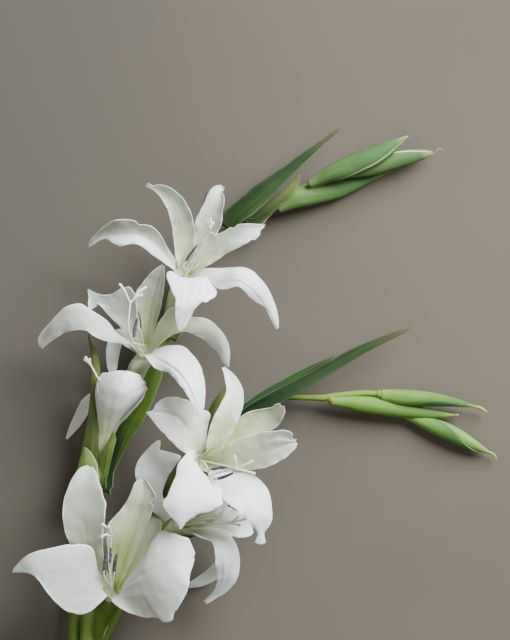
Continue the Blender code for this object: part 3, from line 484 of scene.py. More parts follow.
tepalLook = {
    "rows": 84,
    "columns": 32,
    "thickness": 0.46,       # at the middle, in millimetres
    "marginThickness": 0.20,
    "ruffle": 0.45,          # how far the margin waves up and down
    "unevenness": 0.45,      # how far the whole blade is off a smooth sheet
    "midribDepth": 0.12,
    "midribWidth": 0.09,     # as a share of the half width
    "ribDepth": 0.06,        # long soft ribs beside it
    "turnShare": 0.35,       # the share of its length over which it turns from the throat to its facing
    "throatGreen": 0.78,
    "greenReach": (0.55, 0.27),  # how far the green of the throat reaches along it, more where there is more
    # the edge's colour is a painted highlight along the rim
    "rimHighlightShare": 0.9,        # how far its thin edge takes the edge's colour
}
# claw: the foot of a tepal, down in the throat and inside its radius, and half as wide as this
throatLook = {"radius": 4.2, "depth": 3.5, "clawDepth": 2.1, "clawInset": 1.0, "clawWidth": 3.15}
bladeLook = {
    "clawCup": 0.28,         # how hollow a blade is at its foot, where a tepal lines the throat
    "clawShare": 0.3,        # of its length, until it has its own hollow
    "foldShare": 0.25,       # of its length, until its fold is full
    "free": (0.05, 0.17),    # from where, and over how much of its length, it takes its traced margins
    "wobbles": [(5.3, 0.018, 1.0), (9.1, 0.0126, 2.1)],  # its width wanders: waves, size, shift
    "between": 1.3,          # how far the waves of the right margin run ahead of those of the left
    "ruffles": 6.5,          # small waves along the margin
}

# fold and cup: how sharply and how softly it is hollow; wave, turns, phase: its long waves
# face: which way its face looks; out: which way it leaves the throat, or else towards its first point
# rolls: share of the length, degrees that the left and the right margin turn towards the face; 0 at its foot
# pleats: soft folds; warm: spots of painted shade, over its grey, an even painted shade on all of it; both
# list spots
bladeUsual = dict(fold=0, cup=0, wave=0.3, turns=2, phase=0, face=(0, 0, 1), out=None, rolls=[], pleats=[],
                  green=1, warm=[], crisp=0.06, midrib=1, ruffle=1, left=None, right=None, grey=0)


def tepal(points, margins=None, **looks):
    # left and right: the two margins from the throat to the tip, as they are seen from above, or
    # margins: share of the length and half width
    return dict(bladeUsual, points=points, margins=margins, **looks)


# the camera over the surface, and the height at which what was traced is in its true place
sight = {"centre": np.array([114.75, 144.0]), "eye": 2027.0, "plane": 27.0}


def seenPlaces(seen, heights):
    # the level places, at these heights, that the camera sees there
    nearer = (sight["eye"] - heights) / (sight["eye"] - sight["plane"])
    return sight["centre"] + (seen - sight["centre"]) * nearer[..., None]


def railsOf(line, spec, claw):
    # both margins at each step, the one on the blade's own left first
    ordered = (spec["left"], spec["right"]) if spec["face"][2] > 0 else (spec["right"], spec["left"])
    rails = []
    for points, side in zip(ordered, (-1, 1)):
        seen = smoothPath([line[0, :2] + side * claw[:2], *points], len(line) - 1)
        rails.append(seenPlaces(seen, line[:, 2]))
    return rails


def railGrid(line, spec, across, halves, height, rails):
    # the blade between its two margins, at the heights of its midline
    middle = line[:, None, :2]
    lefts, rights = (rail[:, None, :] for rail in rails)
    u = np.clip(across / halves, -1, 1)[..., None]
    places = middle + u * 0.5 * (rights - lefts) + u * u * (0.5 * (rights + lefts) - middle)
    offset = places - middle
    face = unit(np.array(spec["face"], float))
    sign = np.sign(face[2])
    face = face * sign
    tilt = -(face[0] * offset[..., 0] + face[1] * offset[..., 1]) / max(face[2], 0.5)
    return np.concatenate([places, (line[:, None, 2] + tilt + sign * height)[..., None]], axis=-1)


def crossSection(spec, shares, left, right, grid):
    # how far sideways and how high each place across the blade lies, at each step of its length
    rows = len(shares)
    ease = clipped(shares / bladeLook["clawShare"])
    cup = bladeLook["clawCup"] * (1 - ease) + spec["cup"] * ease
    fold = spec["fold"] * clipped(shares / bladeLook["foldShare"])
    rolls = softTable([(0, 0, 0), *spec["rolls"]], shares)
    across = np.zeros((rows, len(grid)))
    height = np.zeros((rows, len(grid)))
    middle = len(grid) // 2
    for sign, half, roll, places in ((-1, left, rolls[0], np.arange(middle, -1, -1)),
                                     (1, right, rolls[1], np.arange(middle, len(grid)))):
        s = np.abs(grid[places])
        mids = 0.5 * (s[1:] + s[:-1])
        slope = np.arctan(4 * cup[:, None] * mids + fold[:, None] * np.tanh(mids / spec["crisp"]))
        slope = slope + np.radians(roll)[:, None] * mids ** 4
        foot = np.zeros((rows, 1))
        out = np.hstack([foot, np.cumsum(np.cos(slope) * np.diff(s), axis=1)])
        rise = np.hstack([foot, np.cumsum(np.sin(slope) * np.diff(s), axis=1)])
        scale = (half / np.maximum(out.max(axis=1), 0.2))[:, None]
        across[:, places] = sign * out * scale
        height[:, places] = rise * scale
    return across, height


def bladePart(line, facings, spec, look, seed):
    # a thin blade's middle places, normals, half thickness and grain, and where along and across it they lie
    shares = np.linspace(0, 1, len(line))
    grid = np.linspace(-1, 1, look["columns"] + 1)
    grid = np.sign(grid) * (0.75 * np.abs(grid) + 0.25 * np.sin(0.5 * np.pi * np.abs(grid)))
    t, s = np.meshgrid(shares, grid, indexing="ij")
    out = np.abs(s)
    ways = pathWays(line)
    facings = unit(facings - ways * np.sum(facings * ways, axis=1, keepdims=True))
    sides = unit(np.cross(ways, facings))
    if spec["left"]:
        rails = railsOf(line, spec, sides[0] * throatLook["clawWidth"])
        left, right = (np.maximum(np.linalg.norm(rail - line[:, :2], axis=1), 0.3) for rail in rails)
    else:
        left = right = softTable(spec["margins"], shares)[0]
    wobble = 0
    for waves, size, shift in bladeLook["wobbles"]:
        wobble = wobble + size * np.sin(2 * np.pi * waves * shares + shift * seed) * np.sin(np.pi * shares)
    across, height = crossSection(spec, shares, left * (1 + wobble), right * (1 - wobble[::-1]), grid)
    ease = np.sin(np.pi * clipped(t * 1.1)) ** 0.5
    ahead = np.where(s > 0, bladeLook["between"], 0.0)
    turn = 2 * np.pi * spec["turns"] * t + spec["phase"] + ahead
    height = height + spec["wave"] * np.sin(turn) * out ** 1.5 * ease
    turn = 2 * np.pi * (bladeLook["ruffles"] * t + 0.12 * np.sin(9 * t + seed)) + 1.7 * seed + 2 * ahead
    ruffle = look["ruffle"] * spec["ruffle"] * (0.6 + 0.4 * np.sin(11 * t + seed))
    height = height + ruffle * np.sin(turn) * out ** 5 * ease
    height = height - spec["midrib"] * look["midribDepth"] * hill(s, 0, look["midribWidth"]) * ease
    height = height + look["ribDepth"] * spec["midrib"] * np.cos(3 * np.pi * s) * ease * clipped(1.1 - t)
    height = height + spots(t, s, spec["pleats"])
    middle = besideLine(line, sides, facings, across, height)
    if spec["left"]:
        halves = np.where(s < 0, left[:, None], right[:, None])
        begins, reach = bladeLook["free"]
        free = eased((t - begins) / reach)[..., None]
        middle = middle * (1 - free) + free * railGrid(line, spec, across, halves, height, rails)
    rough = look["unevenness"] * (unevenness(middle, 9.0, seed) + 0.4 * unevenness(middle, 3.6, seed + 3))
    middle = middle + facings[:, None, :] * (rough * clipped(t * 3))[..., None]
    thin = out ** 3
    halfThick = 0.5 * (look["thickness"] * (1 - thin) + look["marginThickness"] * thin)
    halfThick = halfThick * np.where(t > 0.97, 0.6, 1.0)
    return (middle, gridNormals(middle), halfThick, np.stack([s * 0.5 + 0.5, t], axis=-1)), t, s


def flowerAxis(flower):
    return np.array(flower["throat"], float), unit(np.array(flower["axis"], float))


def tepalPart(flower, spec, seed):
    throat, axis = flowerAxis(flower)
    out = np.array(spec["out"] or spec["points"][0] - throat, float)
    out = unit(out - axis * np.dot(out, axis))
    start = throat - axis * throatLook["clawDepth"] + out * (throatLook["radius"] - throatLook["clawInset"])
    line = smoothPath([start, *spec["points"]], tepalLook["rows"])
    turned = eased(np.linspace(0, 1, len(line)) / tepalLook["turnShare"])[:, None]
    facings = unit(-out * (1 - turned) + unit(np.array(spec["face"], float)) * turned)
    blade, t, s = bladePart(line, facings, spec, tepalLook, seed)
    nearest, further = tepalLook["greenReach"]
    fade = clipped(1 - t / (nearest + further * spec["green"])) ** 1.3 * (1 - 0.45 * np.abs(s))
    green = tepalLook["throatGreen"] * spec["green"] * fade
    # painted highlight: the thin margin is painted back to white
    edge = tepalLook["rimHighlightShare"] * clipped((np.abs(s) - 0.93) / 0.06) * clipped(t * 4)
    # painted shade: an even amount over the tepal, and spots of it
    return skinPart(*blade, tintGrid(t.shape, green, spec["grey"] + spots(t, s, spec["warm"]), edge))


tubeLook = {
    "sides": 36,
    "rows": 30,
    "radius": 2.0,
    "start": 0.55,           # how wide it is in the stem, as a share
    "flare": 2.4,            # how much wider it gets towards the throat
    "closing": 0.45,         # how much of that it loses again right under it
    "ridgeDepth": 0.03,
    "green": (0.65, 0.25),   # at its foot besides, and all along it
    "mouthGreen": 0.55,
    # rings over the rim and down inside: how far under the throat, and the radius
    "mouth": [(3.0, 3.95), (2.2, 4.0), (1.4, 4.0), (0.8, 3.95), (0.5, 3.7), (0.8, 3.3), (1.6, 2.9),
              (2.4, 2.2), (2.6, 1.0), (2.62, 0.1)],
}


def tubePart(flower):
    # the flower's tube from the stem to a throat with a hollow mouth
    look = tubeLook
    throat, axis = flowerAxis(flower)
    line = smoothPath([*flower["tube"], throat - axis * throatLook["depth"]], look["rows"])
    shares = np.linspace(0, 1, len(line))
    blend = clipped((shares - 0.7) / 0.3)[:, None]
    ways = unit(pathWays(line) * (1 - blend) + axis * blend)
    flare = flower.get("flare", look["flare"]) * shares ** 2 * (1 - look["closing"] * shares ** 5)
    wides = look["radius"] * np.minimum(look["start"] + shares, 1.0) + flare
    greens = look["green"][0] * (1 - shares) ** 0.6 + look["green"][1]
    drops, mouth = np.array(look["mouth"]).T
    line = np.vstack([line, throat - axis * drops[:, None]])
    side, up = acrossFrames(np.vstack([ways, np.repeat([axis], len(drops), axis=0)]))
    angles = ringAngles(look["sides"])
    girth = np.append(wides, mouth)[:, None] * (1 + look["ridgeDepth"] * np.cos(6 * angles))
    verts = besideLine(line, side, up, girth * np.cos(angles), girth * np.sin(angles))
    greens = np.append(greens, [look["mouthGreen"]] * len(drops))[:, None]
    return dict(verts=verts.reshape(-1, 3), faces=gridFaces(len(line) - 1, len(angles), closed=True),
                uv=ringGrain(angles, len(line)), tint=tintGrid(verts.shape[:2], greens).reshape(-1, 4))


# throat: the middle of its mouth; axis: the way it opens; tube: its path from the stem
flowers = {
    "a": dict(throat=(83, 165, 28), axis=(0.4, 0.62, 0.67),
              tube=[(74, 136.5, 12.6), (75, 143, 15.5), (77.5, 152, 19.5)], tepals=[
        # long, to the left: a crease along it, its upper half in shade, partly painted shade, and a hooked
        # tip
        tepal([(76, 171, 32), (70, 177.8, 36), (62, 182.2, 39), (54, 182.2, 38), (47, 181.5, 35),
                (40, 177.4, 30)],
            left=[(77.8, 165.5), (73.5, 169.9), (69, 172.9), (64.5, 176.6), (60.8, 178.1), (57, 177.9),
                (54, 177.2), (51, 178.5), (48, 180.4), (45, 180), (42, 178.1), (39.6, 176.6)],
            right=[(78.2, 168.5), (76.1, 174), (74.3, 178.5), (72, 182.6), (69, 185.6), (65.6, 186.9),
                (62.6, 186.9), (61.1, 188.3), (58.5, 189.2), (54.8, 189.2), (51, 188.6), (47.3, 186.4),
                (44.3, 183.8), (41.3, 180.8), (39.5, 177.9)],
            fold=0.4, turns=2.6, grey=0.1, face=(0.1, -0.15, 1), crisp=0.12, midrib=0.3,
            rolls=[(0.4, -20, 25), (0.8, -30, 30), (1, 0, 0)], warm=[(0.6, 0.45, 0.8, 0.6, 1.2)],
            green=0.5),
        # up, and curled out to the left at its tip
        tepal([(82.8, 173, 29), (83.3, 182, 31), (82, 191, 33), (78.2, 198, 34.5), (72.5, 202.2, 34.5),
                (66, 204.9, 33)],
            left=[(79.2, 168), (78.8, 174), (78, 181.5), (76.9, 189), (75, 194.6), (72, 199.5), (69, 202.4),
                (66.8, 203.6), (65.5, 204.3)],
            right=[(83, 167), (87.4, 174), (87.9, 181.5), (87.2, 187.5), (85.4, 193.5), (82.5, 198.4),
                (79.5, 201.4), (76.5, 203.6), (73.5, 204.6), (70.9, 204.8), (68.9, 204.3), (67.9, 204.9),
                (66.3, 205.6)],
            fold=0.12, cup=0.05, grey=0.72, face=(-0.15, -0.25, 1), crisp=0.2,
            rolls=[(0.3, 35, 10), (0.6, 45, 10), (1, 20, 30)], warm=[(0.45, 0.45, 0.3, 0.9, 0.6)]),
        # up to the right, waisted and then broad, with a rolled ruffled tip
        tepal([(88.5, 176, 27), (92, 184, 29), (95, 192, 31), (97.6, 199, 31), (100, 203.4, 28)],
            left=[(86, 169), (87, 178), (88, 186), (88.4, 190), (90.3, 193.5), (91.9, 196.5), (93.3, 200),
                (95, 202.8), (96.8, 204.4), (98.6, 204.9), (100.1, 204.5)],
            right=[(88, 167), (93, 174), (98.3, 184), (99.6, 187), (100.1, 189.5), (99.8, 192),
                (100.7, 196), (100.8, 199.5), (99.9, 201.8), (100.9, 203.1), (100.6, 204.2)],
            cup=0.08, wave=0.4, phase=1, grey=0.5, face=(-0.25, -0.15, 1),
            rolls=[(0.6, 10, 40), (1, 20, 110)], ruffle=1.2, warm=[(0.7, 0.4, 0.6, 0.6, 0.4)]),
        # to the upper right, ragged along its upper margin
        tepal([(90, 169, 31), (96, 174.5, 34), (103.5, 179.5, 38), (111, 183, 39), (118.6, 186.3, 37)],
            left=[(86, 168.5), (88.8, 176), (92.5, 181.5), (95.2, 183.4), (96.8, 182.4), (98.6, 182.7),
                (101.3, 184.2), (103.5, 185.4), (105.2, 185.3), (107.3, 186.8), (111, 187.2),
                (115.5, 187.1), (119.4, 187)],
            right=[(87, 163.5), (88.5, 164.6), (93, 168.2), (97.5, 170.8), (101.3, 173.6), (105.8, 175.9),
                (111, 178.5), (113.4, 180.2), (114.6, 180), (116.8, 182.1), (117.2, 184.2), (119.2, 186.1)],
            cup=0.09, wave=0.4, turns=2.5, phase=2.2, grey=0.35, face=(0, -0.3, 1), ruffle=1.6,
            rolls=[(0.4, 30, -15), (0.8, 50, -20), (1, 10, 0)], green=1.2),
        # the long arch to the right, folded near its start
        tepal([(92, 164.5, 34), (99, 163.2, 40), (107, 163.6, 45), (114.5, 158.8, 45), (119.8, 151.5, 40),
                (123, 145, 35), (124.9, 139.8, 30)],
            left=[(90.8, 166.2), (94.5, 167.2), (99.8, 167.3), (103.5, 167.5), (108, 167.8), (111, 167.3),
                (114, 165.8), (117, 162.8), (120, 159), (122.3, 154.5), (124.1, 150), (125.3, 144.8),
                (125.5, 140.2)],
            right=[(91.5, 162.8), (96, 159.8), (98.3, 158.1), (101.3, 157.7), (104.3, 158.6), (106.9, 159),
                (109.5, 157.5), (111.8, 154.9), (114.8, 152.3), (117.5, 150.6), (119.3, 149.6),
                (120.8, 146.3), (122.6, 142.5), (124.4, 139.5)],
            fold=-0.16, cup=-0.04, wave=0.4, turns=2.3, face=(0.1, 0.2, 1), green=0.4, crisp=0.2,
            rolls=[(0.25, 20, 60), (0.5, -20, 15), (1, -30, 10)], ruffle=0.8,
            pleats=[(0.45, 0.2, 0.3, 0.1, 0.35), (0.75, 0.2, 0.4, 0.12, -0.35)]),
        # broad, hanging towards the viewer, pleated on its right half
        tepal([(84.6, 162.5, 37), (85.6, 158, 43), (83.8, 151, 48.5), (81.2, 139.2, 45)],
            left=[(87, 163.2), (90.5, 163.6), (93.8, 163.2), (96, 161.3), (97.5, 159), (97.6, 156.4),
                (96.4, 154.1), (94.1, 152.7), (92.6, 152), (91.1, 152.2), (88.5, 150), (86.6, 147),
                (85.1, 144), (83.3, 140.6), (81.5, 138.9)],
            right=[(80, 165), (76.8, 166.3), (75.2, 165.2), (75.1, 162.8), (76.5, 159), (78, 155.3),
                (79.1, 153.2), (78.8, 150), (78.8, 147), (79.1, 144), (79.9, 141), (81, 138.9)],
            cup=-0.05, phase=0.6, face=(0.1, 0.35, 1), ruffle=0.9, green=0.1,
                pleats=[(0.5, 0.3, -0.25, 0.07, 0.55), (0.55, 0.3, -0.5, 0.07, 0.5),
                (0.45, 0.25, -0.72, 0.08, 0.6), (0.55, 0.3, -0.38, 0.06, -0.5),
                (0.5, 0.3, -0.62, 0.06, -0.45), (0.5, 0.4, 0.35, 0.08, 0.3)]),
    ]),
    "b": dict(throat=(65, 131, 26), axis=(-0.15, 0.75, 0.64), flare=4.2,
              tube=[(52.5, 92, 12.3), (55.4, 101, 12.8), (58.8, 112, 15.4), (61.6, 121.5, 20.4)], tepals=[
        tepal([(57, 134.7, 31), (48, 139, 36.5), (38, 144.4, 40), (27, 142, 37), (18.2, 131.8, 29)],
            left=[(60, 133), (55.5, 133.2), (51, 133.9), (48, 134.3), (45, 135.4), (42, 136.9),
                (39.8, 138.6), (37.5, 139.4), (33.8, 139.4), (29.3, 138.4), (25.5, 136.1), (21.8, 133.5),
                (18.9, 130.9)],
            right=[(61, 134.5), (57.8, 134.9), (54, 136.5), (51.8, 138.8), (49.5, 142.3), (45.8, 145.5),
                (42, 147.8), (38.3, 150.4), (36, 151.4), (32.3, 150.9), (28.5, 149.3), (25.5, 146.3),
                (21.8, 142.1), (18.8, 138.8), (17.2, 135.8), (17.4, 132.2)],
            fold=-0.1, cup=-0.06, wave=0.4, phase=0.5, grey=0.36, face=(-0.05, 0, 1), crisp=0.2, green=0.4,
            rolls=[(0.5, 25, -15), (1, 20, 30)],
            warm=[(0.5, 0.5, 0.5, 0.7, 0.35), (0.85, 0.2, 0.2, 0.8, 0.2)]),
        # its left corner hangs in a small fold
        tepal([(60, 138.5, 27), (56, 146, 28), (51, 151.5, 30), (45, 154.2, 30), (39.8, 157.6, 28)],
            left=[(61, 135.5), (57.5, 137.5), (53, 142), (48.5, 146.4), (46, 149.6), (43.6, 151.6),
                (42, 149.6), (40.2, 148.6), (39.6, 151.5), (39.9, 154.5), (39.4, 157.6)],
            right=[(61, 138.5), (61.6, 146), (61.4, 152), (60.4, 156.8), (58.5, 158.8), (55.5, 158.4),
                (52.5, 156.8), (49.5, 155.3), (45.8, 155.2), (42, 156.4), (39.6, 158)],
            wave=0.4, phase=1.5, grey=0.42, face=(-0.1, -0.3, 1), cup=0.07,
            rolls=[(0.5, 0, 35), (1, 70, 20)], warm=[(0.6, 0.4, 0.2, 1, 0.35)], green=0.7),
        tepal([(66, 138, 24), (66.5, 146, 23), (68.5, 156, 23), (73.2, 168.6, 20)],
            left=[(62.5, 136), (60.6, 144), (60.2, 152), (61.4, 156.8), (63.4, 159.8), (66, 163),
                (69, 166.3), (73, 169)],
            right=[(69, 137), (70.5, 143), (72.5, 150), (73.7, 157.5), (74.1, 163.5), (73.9, 168.6)],
            wave=0.4, phase=2.6, grey=1.09, face=(-0.1, -0.4, 1), cup=0.07,
            warm=[(0.55, 0.5, 0.3, 1.2, 0.8)], green=1.3,
            pleats=[(0.5, 0.5, 0.35, 0.1, 0.5), (0.5, 0.5, 0.1, 0.12, -0.4)]),
        tepal([(72, 134, 29), (79, 139.7, 34), (88.5, 141.3, 36), (96, 137.8, 34), (100.5, 131, 30),
                (102.5, 122.7, 27)],
            left=[(69, 132.5), (69.9, 137.6), (71.3, 142.4), (73.9, 146.6), (76.2, 149.4), (79.4, 150.2),
                (82.6, 148.4), (85.6, 145.8), (88.4, 145.2), (91.5, 144.9), (95.3, 143.3), (98.3, 140.6),
                (100.9, 137.3), (102.8, 133.5), (103.5, 129), (103.2, 124.5), (102.9, 122.3)],
            right=[(68.5, 130.5), (70.5, 132.8), (72.8, 135), (75, 136.9), (78, 138.2), (81, 138.8),
                (84.8, 138.6), (88.5, 136.9), (91.5, 135), (94.5, 132.4), (96.8, 130.5), (98.6, 128.3),
                (100.1, 125.3), (102, 122.6)],
            fold=-0.1, cup=-0.04, phase=0.2, grey=0.5, face=(-0.15, -0.2, 1),
            warm=[(0.4, 0.5, 0.2, 1.2, 0.45)], green=1.1),
        # the broad arch down to the right
        tepal([(69.5, 129, 33), (75.5, 127, 39), (82, 122.5, 45), (87, 114.5, 48), (89.2, 107, 47),
                (89.8, 100.8, 45)],
            left=[(67.5, 130.1), (70.5, 131.9), (75.8, 132.6), (79.5, 132.8), (82.5, 132), (85.5, 129.8),
                (88.5, 126), (90.8, 121.5), (91.9, 117), (92.3, 112.5), (92.2, 108), (91.8, 104.3),
                (90.5, 100.8)],
            right=[(66.6, 126.8), (67.4, 124.9), (69.5, 122.6), (72.8, 121.2), (75.8, 120.4), (78, 118.3),
                (81, 114.8), (84, 110.6), (86.3, 106.5), (87.8, 103), (89, 100.7)],
            cup=-0.08, fold=-0.05, phase=1.1, warm=[(0.4, 0.4, -0.8, 0.35, 0.35)], face=(0.4, 0.45, 1),
            green=0.1, crisp=0.2, pleats=[(0.5, 0.35, 0.2, 0.09, 0.5), (0.55, 0.35, 0.42, 0.08, -0.4),
                (0.6, 0.3, -0.3, 0.1, -0.4)]),
        tepal([(58, 134, 23), (53.5, 137, 21), (50.6, 130, 19), (50.2, 118, 18)],
            [(0, 3), (0.3, 2.8), (0.6, 3.3), (0.85, 2.4), (1, 0.6)], face=(0, 0.2, 1),
            warm=[(0.5, 0.8, 0, 2, 0.2)]),
    ]),
    "c": dict(throat=(91, 80, 34), axis=(0.52, 0.12, 0.84),
              tube=[(77.4, 65, 11.7), (79, 69, 16.5), (84.5, 75.2, 25.5)], tepals=[
        # folded back above its crease
        tepal([(87.5, 86, 36), (84, 93, 37), (79, 99.2, 36.5), (72, 101.8, 35), (66, 102.4, 33)],
            left=[(88.5, 81.8), (86, 83.4), (83.3, 84.2), (81.3, 85.4), (78, 88.5), (74.3, 92.3),
                (70.5, 96.4), (68.3, 99.4), (65.9, 102.2)],
            right=[(90.5, 84), (92.5, 90), (93.5, 96), (94.6, 101.4), (91.5, 104), (87, 106.3), (83, 108.5),
                (78, 109.4), (73.2, 108.6), (70.2, 106), (69, 103.6), (66, 102.6)],
            cup=-0.02, fold=-0.02, phase=0.3, grey=0.05, face=(-0.1, 0.2, 1), crisp=0.12, green=0.9,
            rolls=[(0.45, 0, 15), (0.7, 0, 40), (1, 0, 20)], warm=[(0.75, 0.3, 0.6, 0.35, 0.35)],
            pleats=[(0.72, 0.3, 0.16, 0.12, -1.1)], midrib=0.4),
        tepal([(95.5, 86, 36), (99.5, 95, 38), (103.2, 104, 39), (105.2, 112.5, 38), (104, 118, 36),
                (100.5, 122.6, 34)],
            left=[(92, 83), (93.2, 90), (95, 97.5), (97.1, 102), (99, 105.8), (101, 109.4), (101.9, 112.5),
                (101.3, 117), (100.5, 120.8), (99.8, 122.6)],
            right=[(98, 84), (102, 89.3), (105, 94.5), (107.6, 99.8), (109.1, 104.3), (109.7, 109.5),
                (109.1, 113.3), (107.3, 117), (105, 119.8), (102.8, 121.7), (100.9, 123.1)],
            fold=0.1, cup=0.04, phase=1.9, face=(0.15, -0.02, 1), green=1.5, crisp=0.2),
        # its tip rolls towards the viewer
        tepal([(98, 86, 36), (106, 93, 37), (114, 98.5, 38.5), (121, 102, 40.5), (127, 105.4, 44)],
            left=[(95.5, 86), (99.5, 90), (102.8, 94.5), (108, 100.2), (112.5, 102.8), (117.8, 103.9),
                (122.3, 104.7), (123.8, 105.9), (126, 106.5)],
            right=[(98, 83), (102, 84.5), (110, 88.5), (117.8, 92.3), (121.5, 93.8), (125.3, 96.8),
                (127.2, 99.8), (128.3, 102.8), (127.9, 105.4)],
            cup=0.06, wave=0.4, phase=0.9, grey=0.82, warm=[(0.4, 0.55, 0, 1.8, 1)], face=(-0.25, -0.3, 1),
            green=2.3, rolls=[(0.6, 20, 10), (0.85, 70, 20), (1, 90, 40)]),
        # notched and ruffled at its end
        tepal([(99, 81, 39), (107, 83.8, 43), (117, 86.3, 46), (126, 88.6, 47.5), (132.8, 89.8, 47)],
            left=[(96, 83.5), (100.5, 86.6), (106.5, 90), (112.5, 92.2), (118.5, 93.7), (123, 94.1),
                (127.5, 94.5), (130.5, 93.8), (131.7, 92.2), (131, 90.8), (132.4, 90.4), (133.5, 90.2)],
            right=[(96.5, 79), (99.5, 77.6), (106.5, 76.4), (114, 76.6), (118.5, 77.4), (123, 79.1),
                (126.8, 81), (129.8, 83.3), (132.8, 86.3), (133.8, 88.4)],
            cup=0.05, wave=0.5, turns=2.5, phase=2.4, grey=0.54, warm=[(0.45, 0.45, 0, 1.6, 0.5)],
            face=(0, -0.2, 1), ruffle=1.5, green=1.5, rolls=[(0.5, 0, 30), (0.85, 30, 45), (1, 60, 60)],
            pleats=[(0.85, 0.15, -0.3, 0.15, 0.6), (0.85, 0.15, 0.2, 0.15, -0.5)]),
        # large and drooping, with a flared foot
        tepal([(99, 76, 40), (106, 71.8, 46), (113, 65.5, 50), (117.2, 57, 49), (117.8, 49, 45),
                (117, 43.8, 43)],
            left=[(98, 78), (101.5, 77.5), (105.8, 76.6), (111, 75.6), (115.5, 73), (118.5, 70.1),
                (120.8, 66.8), (121.9, 63), (122.5, 58.5), (122.3, 54), (120.9, 50.8), (119, 48.8),
                (118.9, 46.6), (119.5, 43.8)],
            right=[(93.5, 75), (94.5, 71.5), (96.5, 67.5), (99, 64.5), (102.2, 62), (107.7, 57.3),
                (110.7, 54.8), (113.4, 51.4), (115.4, 49), (115.8, 47.2), (114.9, 45), (114.4, 44.1)],
            cup=-0.06, phase=1.3, face=(0.5, 0.35, 1), rolls=[(0.6, 0, 0), (0.9, -40, -40), (1, 30, 30)],
            warm=[(0.25, 0.3, -0.7, 0.7, 0.7)], green=0.5),
        # broad, towards the viewer, with fine radiating veins
        tepal([(87.6, 80, 43), (87, 73, 49.5), (86.3, 65, 54), (84, 57, 54), (81.4, 51, 52.5)],
            left=[(88.5, 83), (88.3, 80.5), (89.6, 77.5), (92.3, 74.3), (96, 71.3), (99, 69), (100.9, 66.8),
                (101.4, 63.8), (100.1, 61.1), (96.8, 58.9), (93, 57.4), (89.3, 56.6), (86.3, 55.1),
                (84, 53.4), (82.2, 50.8)],
            right=[(87, 84.6), (85.5, 85), (83.6, 84), (82.1, 81.8), (79.9, 78.8), (79.3, 75), (77.3, 69.8),
                (75.4, 65.3), (73.5, 62.3), (73.5, 59.6), (75.5, 57), (78.2, 53.8), (80.8, 50.8)],
            cup=-0.07, phase=0.1, warm=[(0.75, 0.3, 0.9, 0.4, 0.4)], face=(0.1, 0.25, 1), green=0.1,
            ruffle=0.6, pleats=[(0.7, 0.25, -0.55, 0.06, 0.3), (0.7, 0.25, -0.3, 0.06, 0.3),
                (0.7, 0.25, -0.75, 0.06, 0.3)]),
    ]),
    "d": dict(throat=(82, 51.5, 20), axis=(0.9, 0.12, 0.36),
              tube=[(67.4, 41.3, 12.1), (71.5, 45, 14), (76, 49, 17)], tepals=[
        # seen from behind, its two upper flaps folded to the light
        tepal([(78, 56.5, 22.5), (71.5, 63, 22.5), (68.3, 72, 22), (68.5, 82, 22.5), (71.8, 89.4, 23)],
            left=[(78, 52), (72, 55), (66, 61), (62.6, 67), (61.2, 72), (60.8, 76), (61.8, 80),
                (64.5, 83.9), (67.5, 87.1), (70.1, 89.3), (71.6, 89.9)],
            right=[(80, 58), (75.5, 61), (73.1, 65.5), (74.3, 70.5), (76.5, 75), (79.5, 79.5), (81.8, 82.5),
                (77.3, 84.2), (73.6, 85.1), (71.9, 85.6), (72.2, 88), (72.2, 89.8)],
            cup=0.03, phase=0.4, grey=0.05, face=(0, 0.15, -1), out=(-0.1, 0.8, 0.6), green=0.5, midrib=0.3,
            warm=[(0.42, 0.32, 0, 2, 0.5)]),
        tepal([(88, 52.8, 19), (95, 53.4, 22), (104, 52.8, 26), (113.6, 50, 27)],
            left=[(84, 54.5), (88, 57), (95, 59.4), (102, 60), (108, 57), (112.5, 53), (114.2, 50.6)],
            right=[(84, 49.5), (88, 48.8), (95, 49.3), (99, 49.3), (103.5, 47.2), (108, 46.2), (112.5, 47),
                (114.1, 48.6)],
            phase=1.2, face=(0, 0.1, 1), out=(0.3, 0.1, -1), green=1.4, cup=0.06,
            rolls=[(0.6, 0, 50), (1, 0, 60)]),
        # the hooked one, showing its lit back
        tepal([(88, 49.3, 25), (94.5, 48.5, 31), (100.3, 44.6, 36), (102.6, 35.5, 35), (101.2, 26, 28.5),
                (96.5, 20.4, 24), (92, 16.7, 21)],
            left=[(82, 49), (84.8, 50), (92.3, 50.5), (98.5, 50), (102.8, 48), (105.4, 44.6), (107.3, 39.8),
                (108, 33.8), (107.3, 29.3), (105, 24.8), (101.3, 21), (97.5, 18.9), (95.3, 17.4),
                (92.4, 15.9)],
            right=[(84, 47.8), (87.8, 47.6), (92.3, 46.2), (95.3, 43.9), (96.6, 40.5), (96.9, 34.5),
                (97.7, 28.5), (97.1, 24), (95.3, 21), (93, 18.9), (91.4, 17.4)],
            cup=0.07, phase=0.7, face=(-0.4, -0.35, -1), out=(0, -0.8, 0.6), green=0.6,
            warm=[(0.2, 0.14, 0.3, 1, 0.4)],
            pleats=[(0.6, 0.2, 0.3, 0.12, -0.4), (0.6, 0.2, -0.3, 0.12, -0.4)]),
        tepal([(88, 48.6, 15.5), (98, 45, 13.5), (101.5, 37, 11), (97, 30, 7), (91, 25.6, 3.5),
                (83, 22.3, 0.6)], [(0, 3), (0.3, 2.8), (0.6, 3.4), (0.85, 2.6), (1, 0.6)], phase=2,
            out=(0, -0.7, -0.7), green=0.6, warm=[(0.6, 0.6, 0, 2, 0.5)]),
        tepal([(88, 56, 22), (95, 60, 24.5), (104, 64.5, 26.5)],
            [(0, 3), (0.3, 4.6), (0.58, 5.5), (0.85, 3.4), (1, 0.5)], wave=0.4, phase=2.7, out=(0, 1, -0.1),
            green=1.4),
        tepal([(85, 57.8, 25.5), (90, 65, 27), (96.5, 72.5, 26)],
            [(0, 3), (0.3, 3.8), (0.58, 4.5), (0.85, 2.8), (1, 0.5)], phase=1.6, cup=-0.1,
            face=(0, -0.1, -1), out=(0, 0.5, 0.85), green=1.2),
    ]),
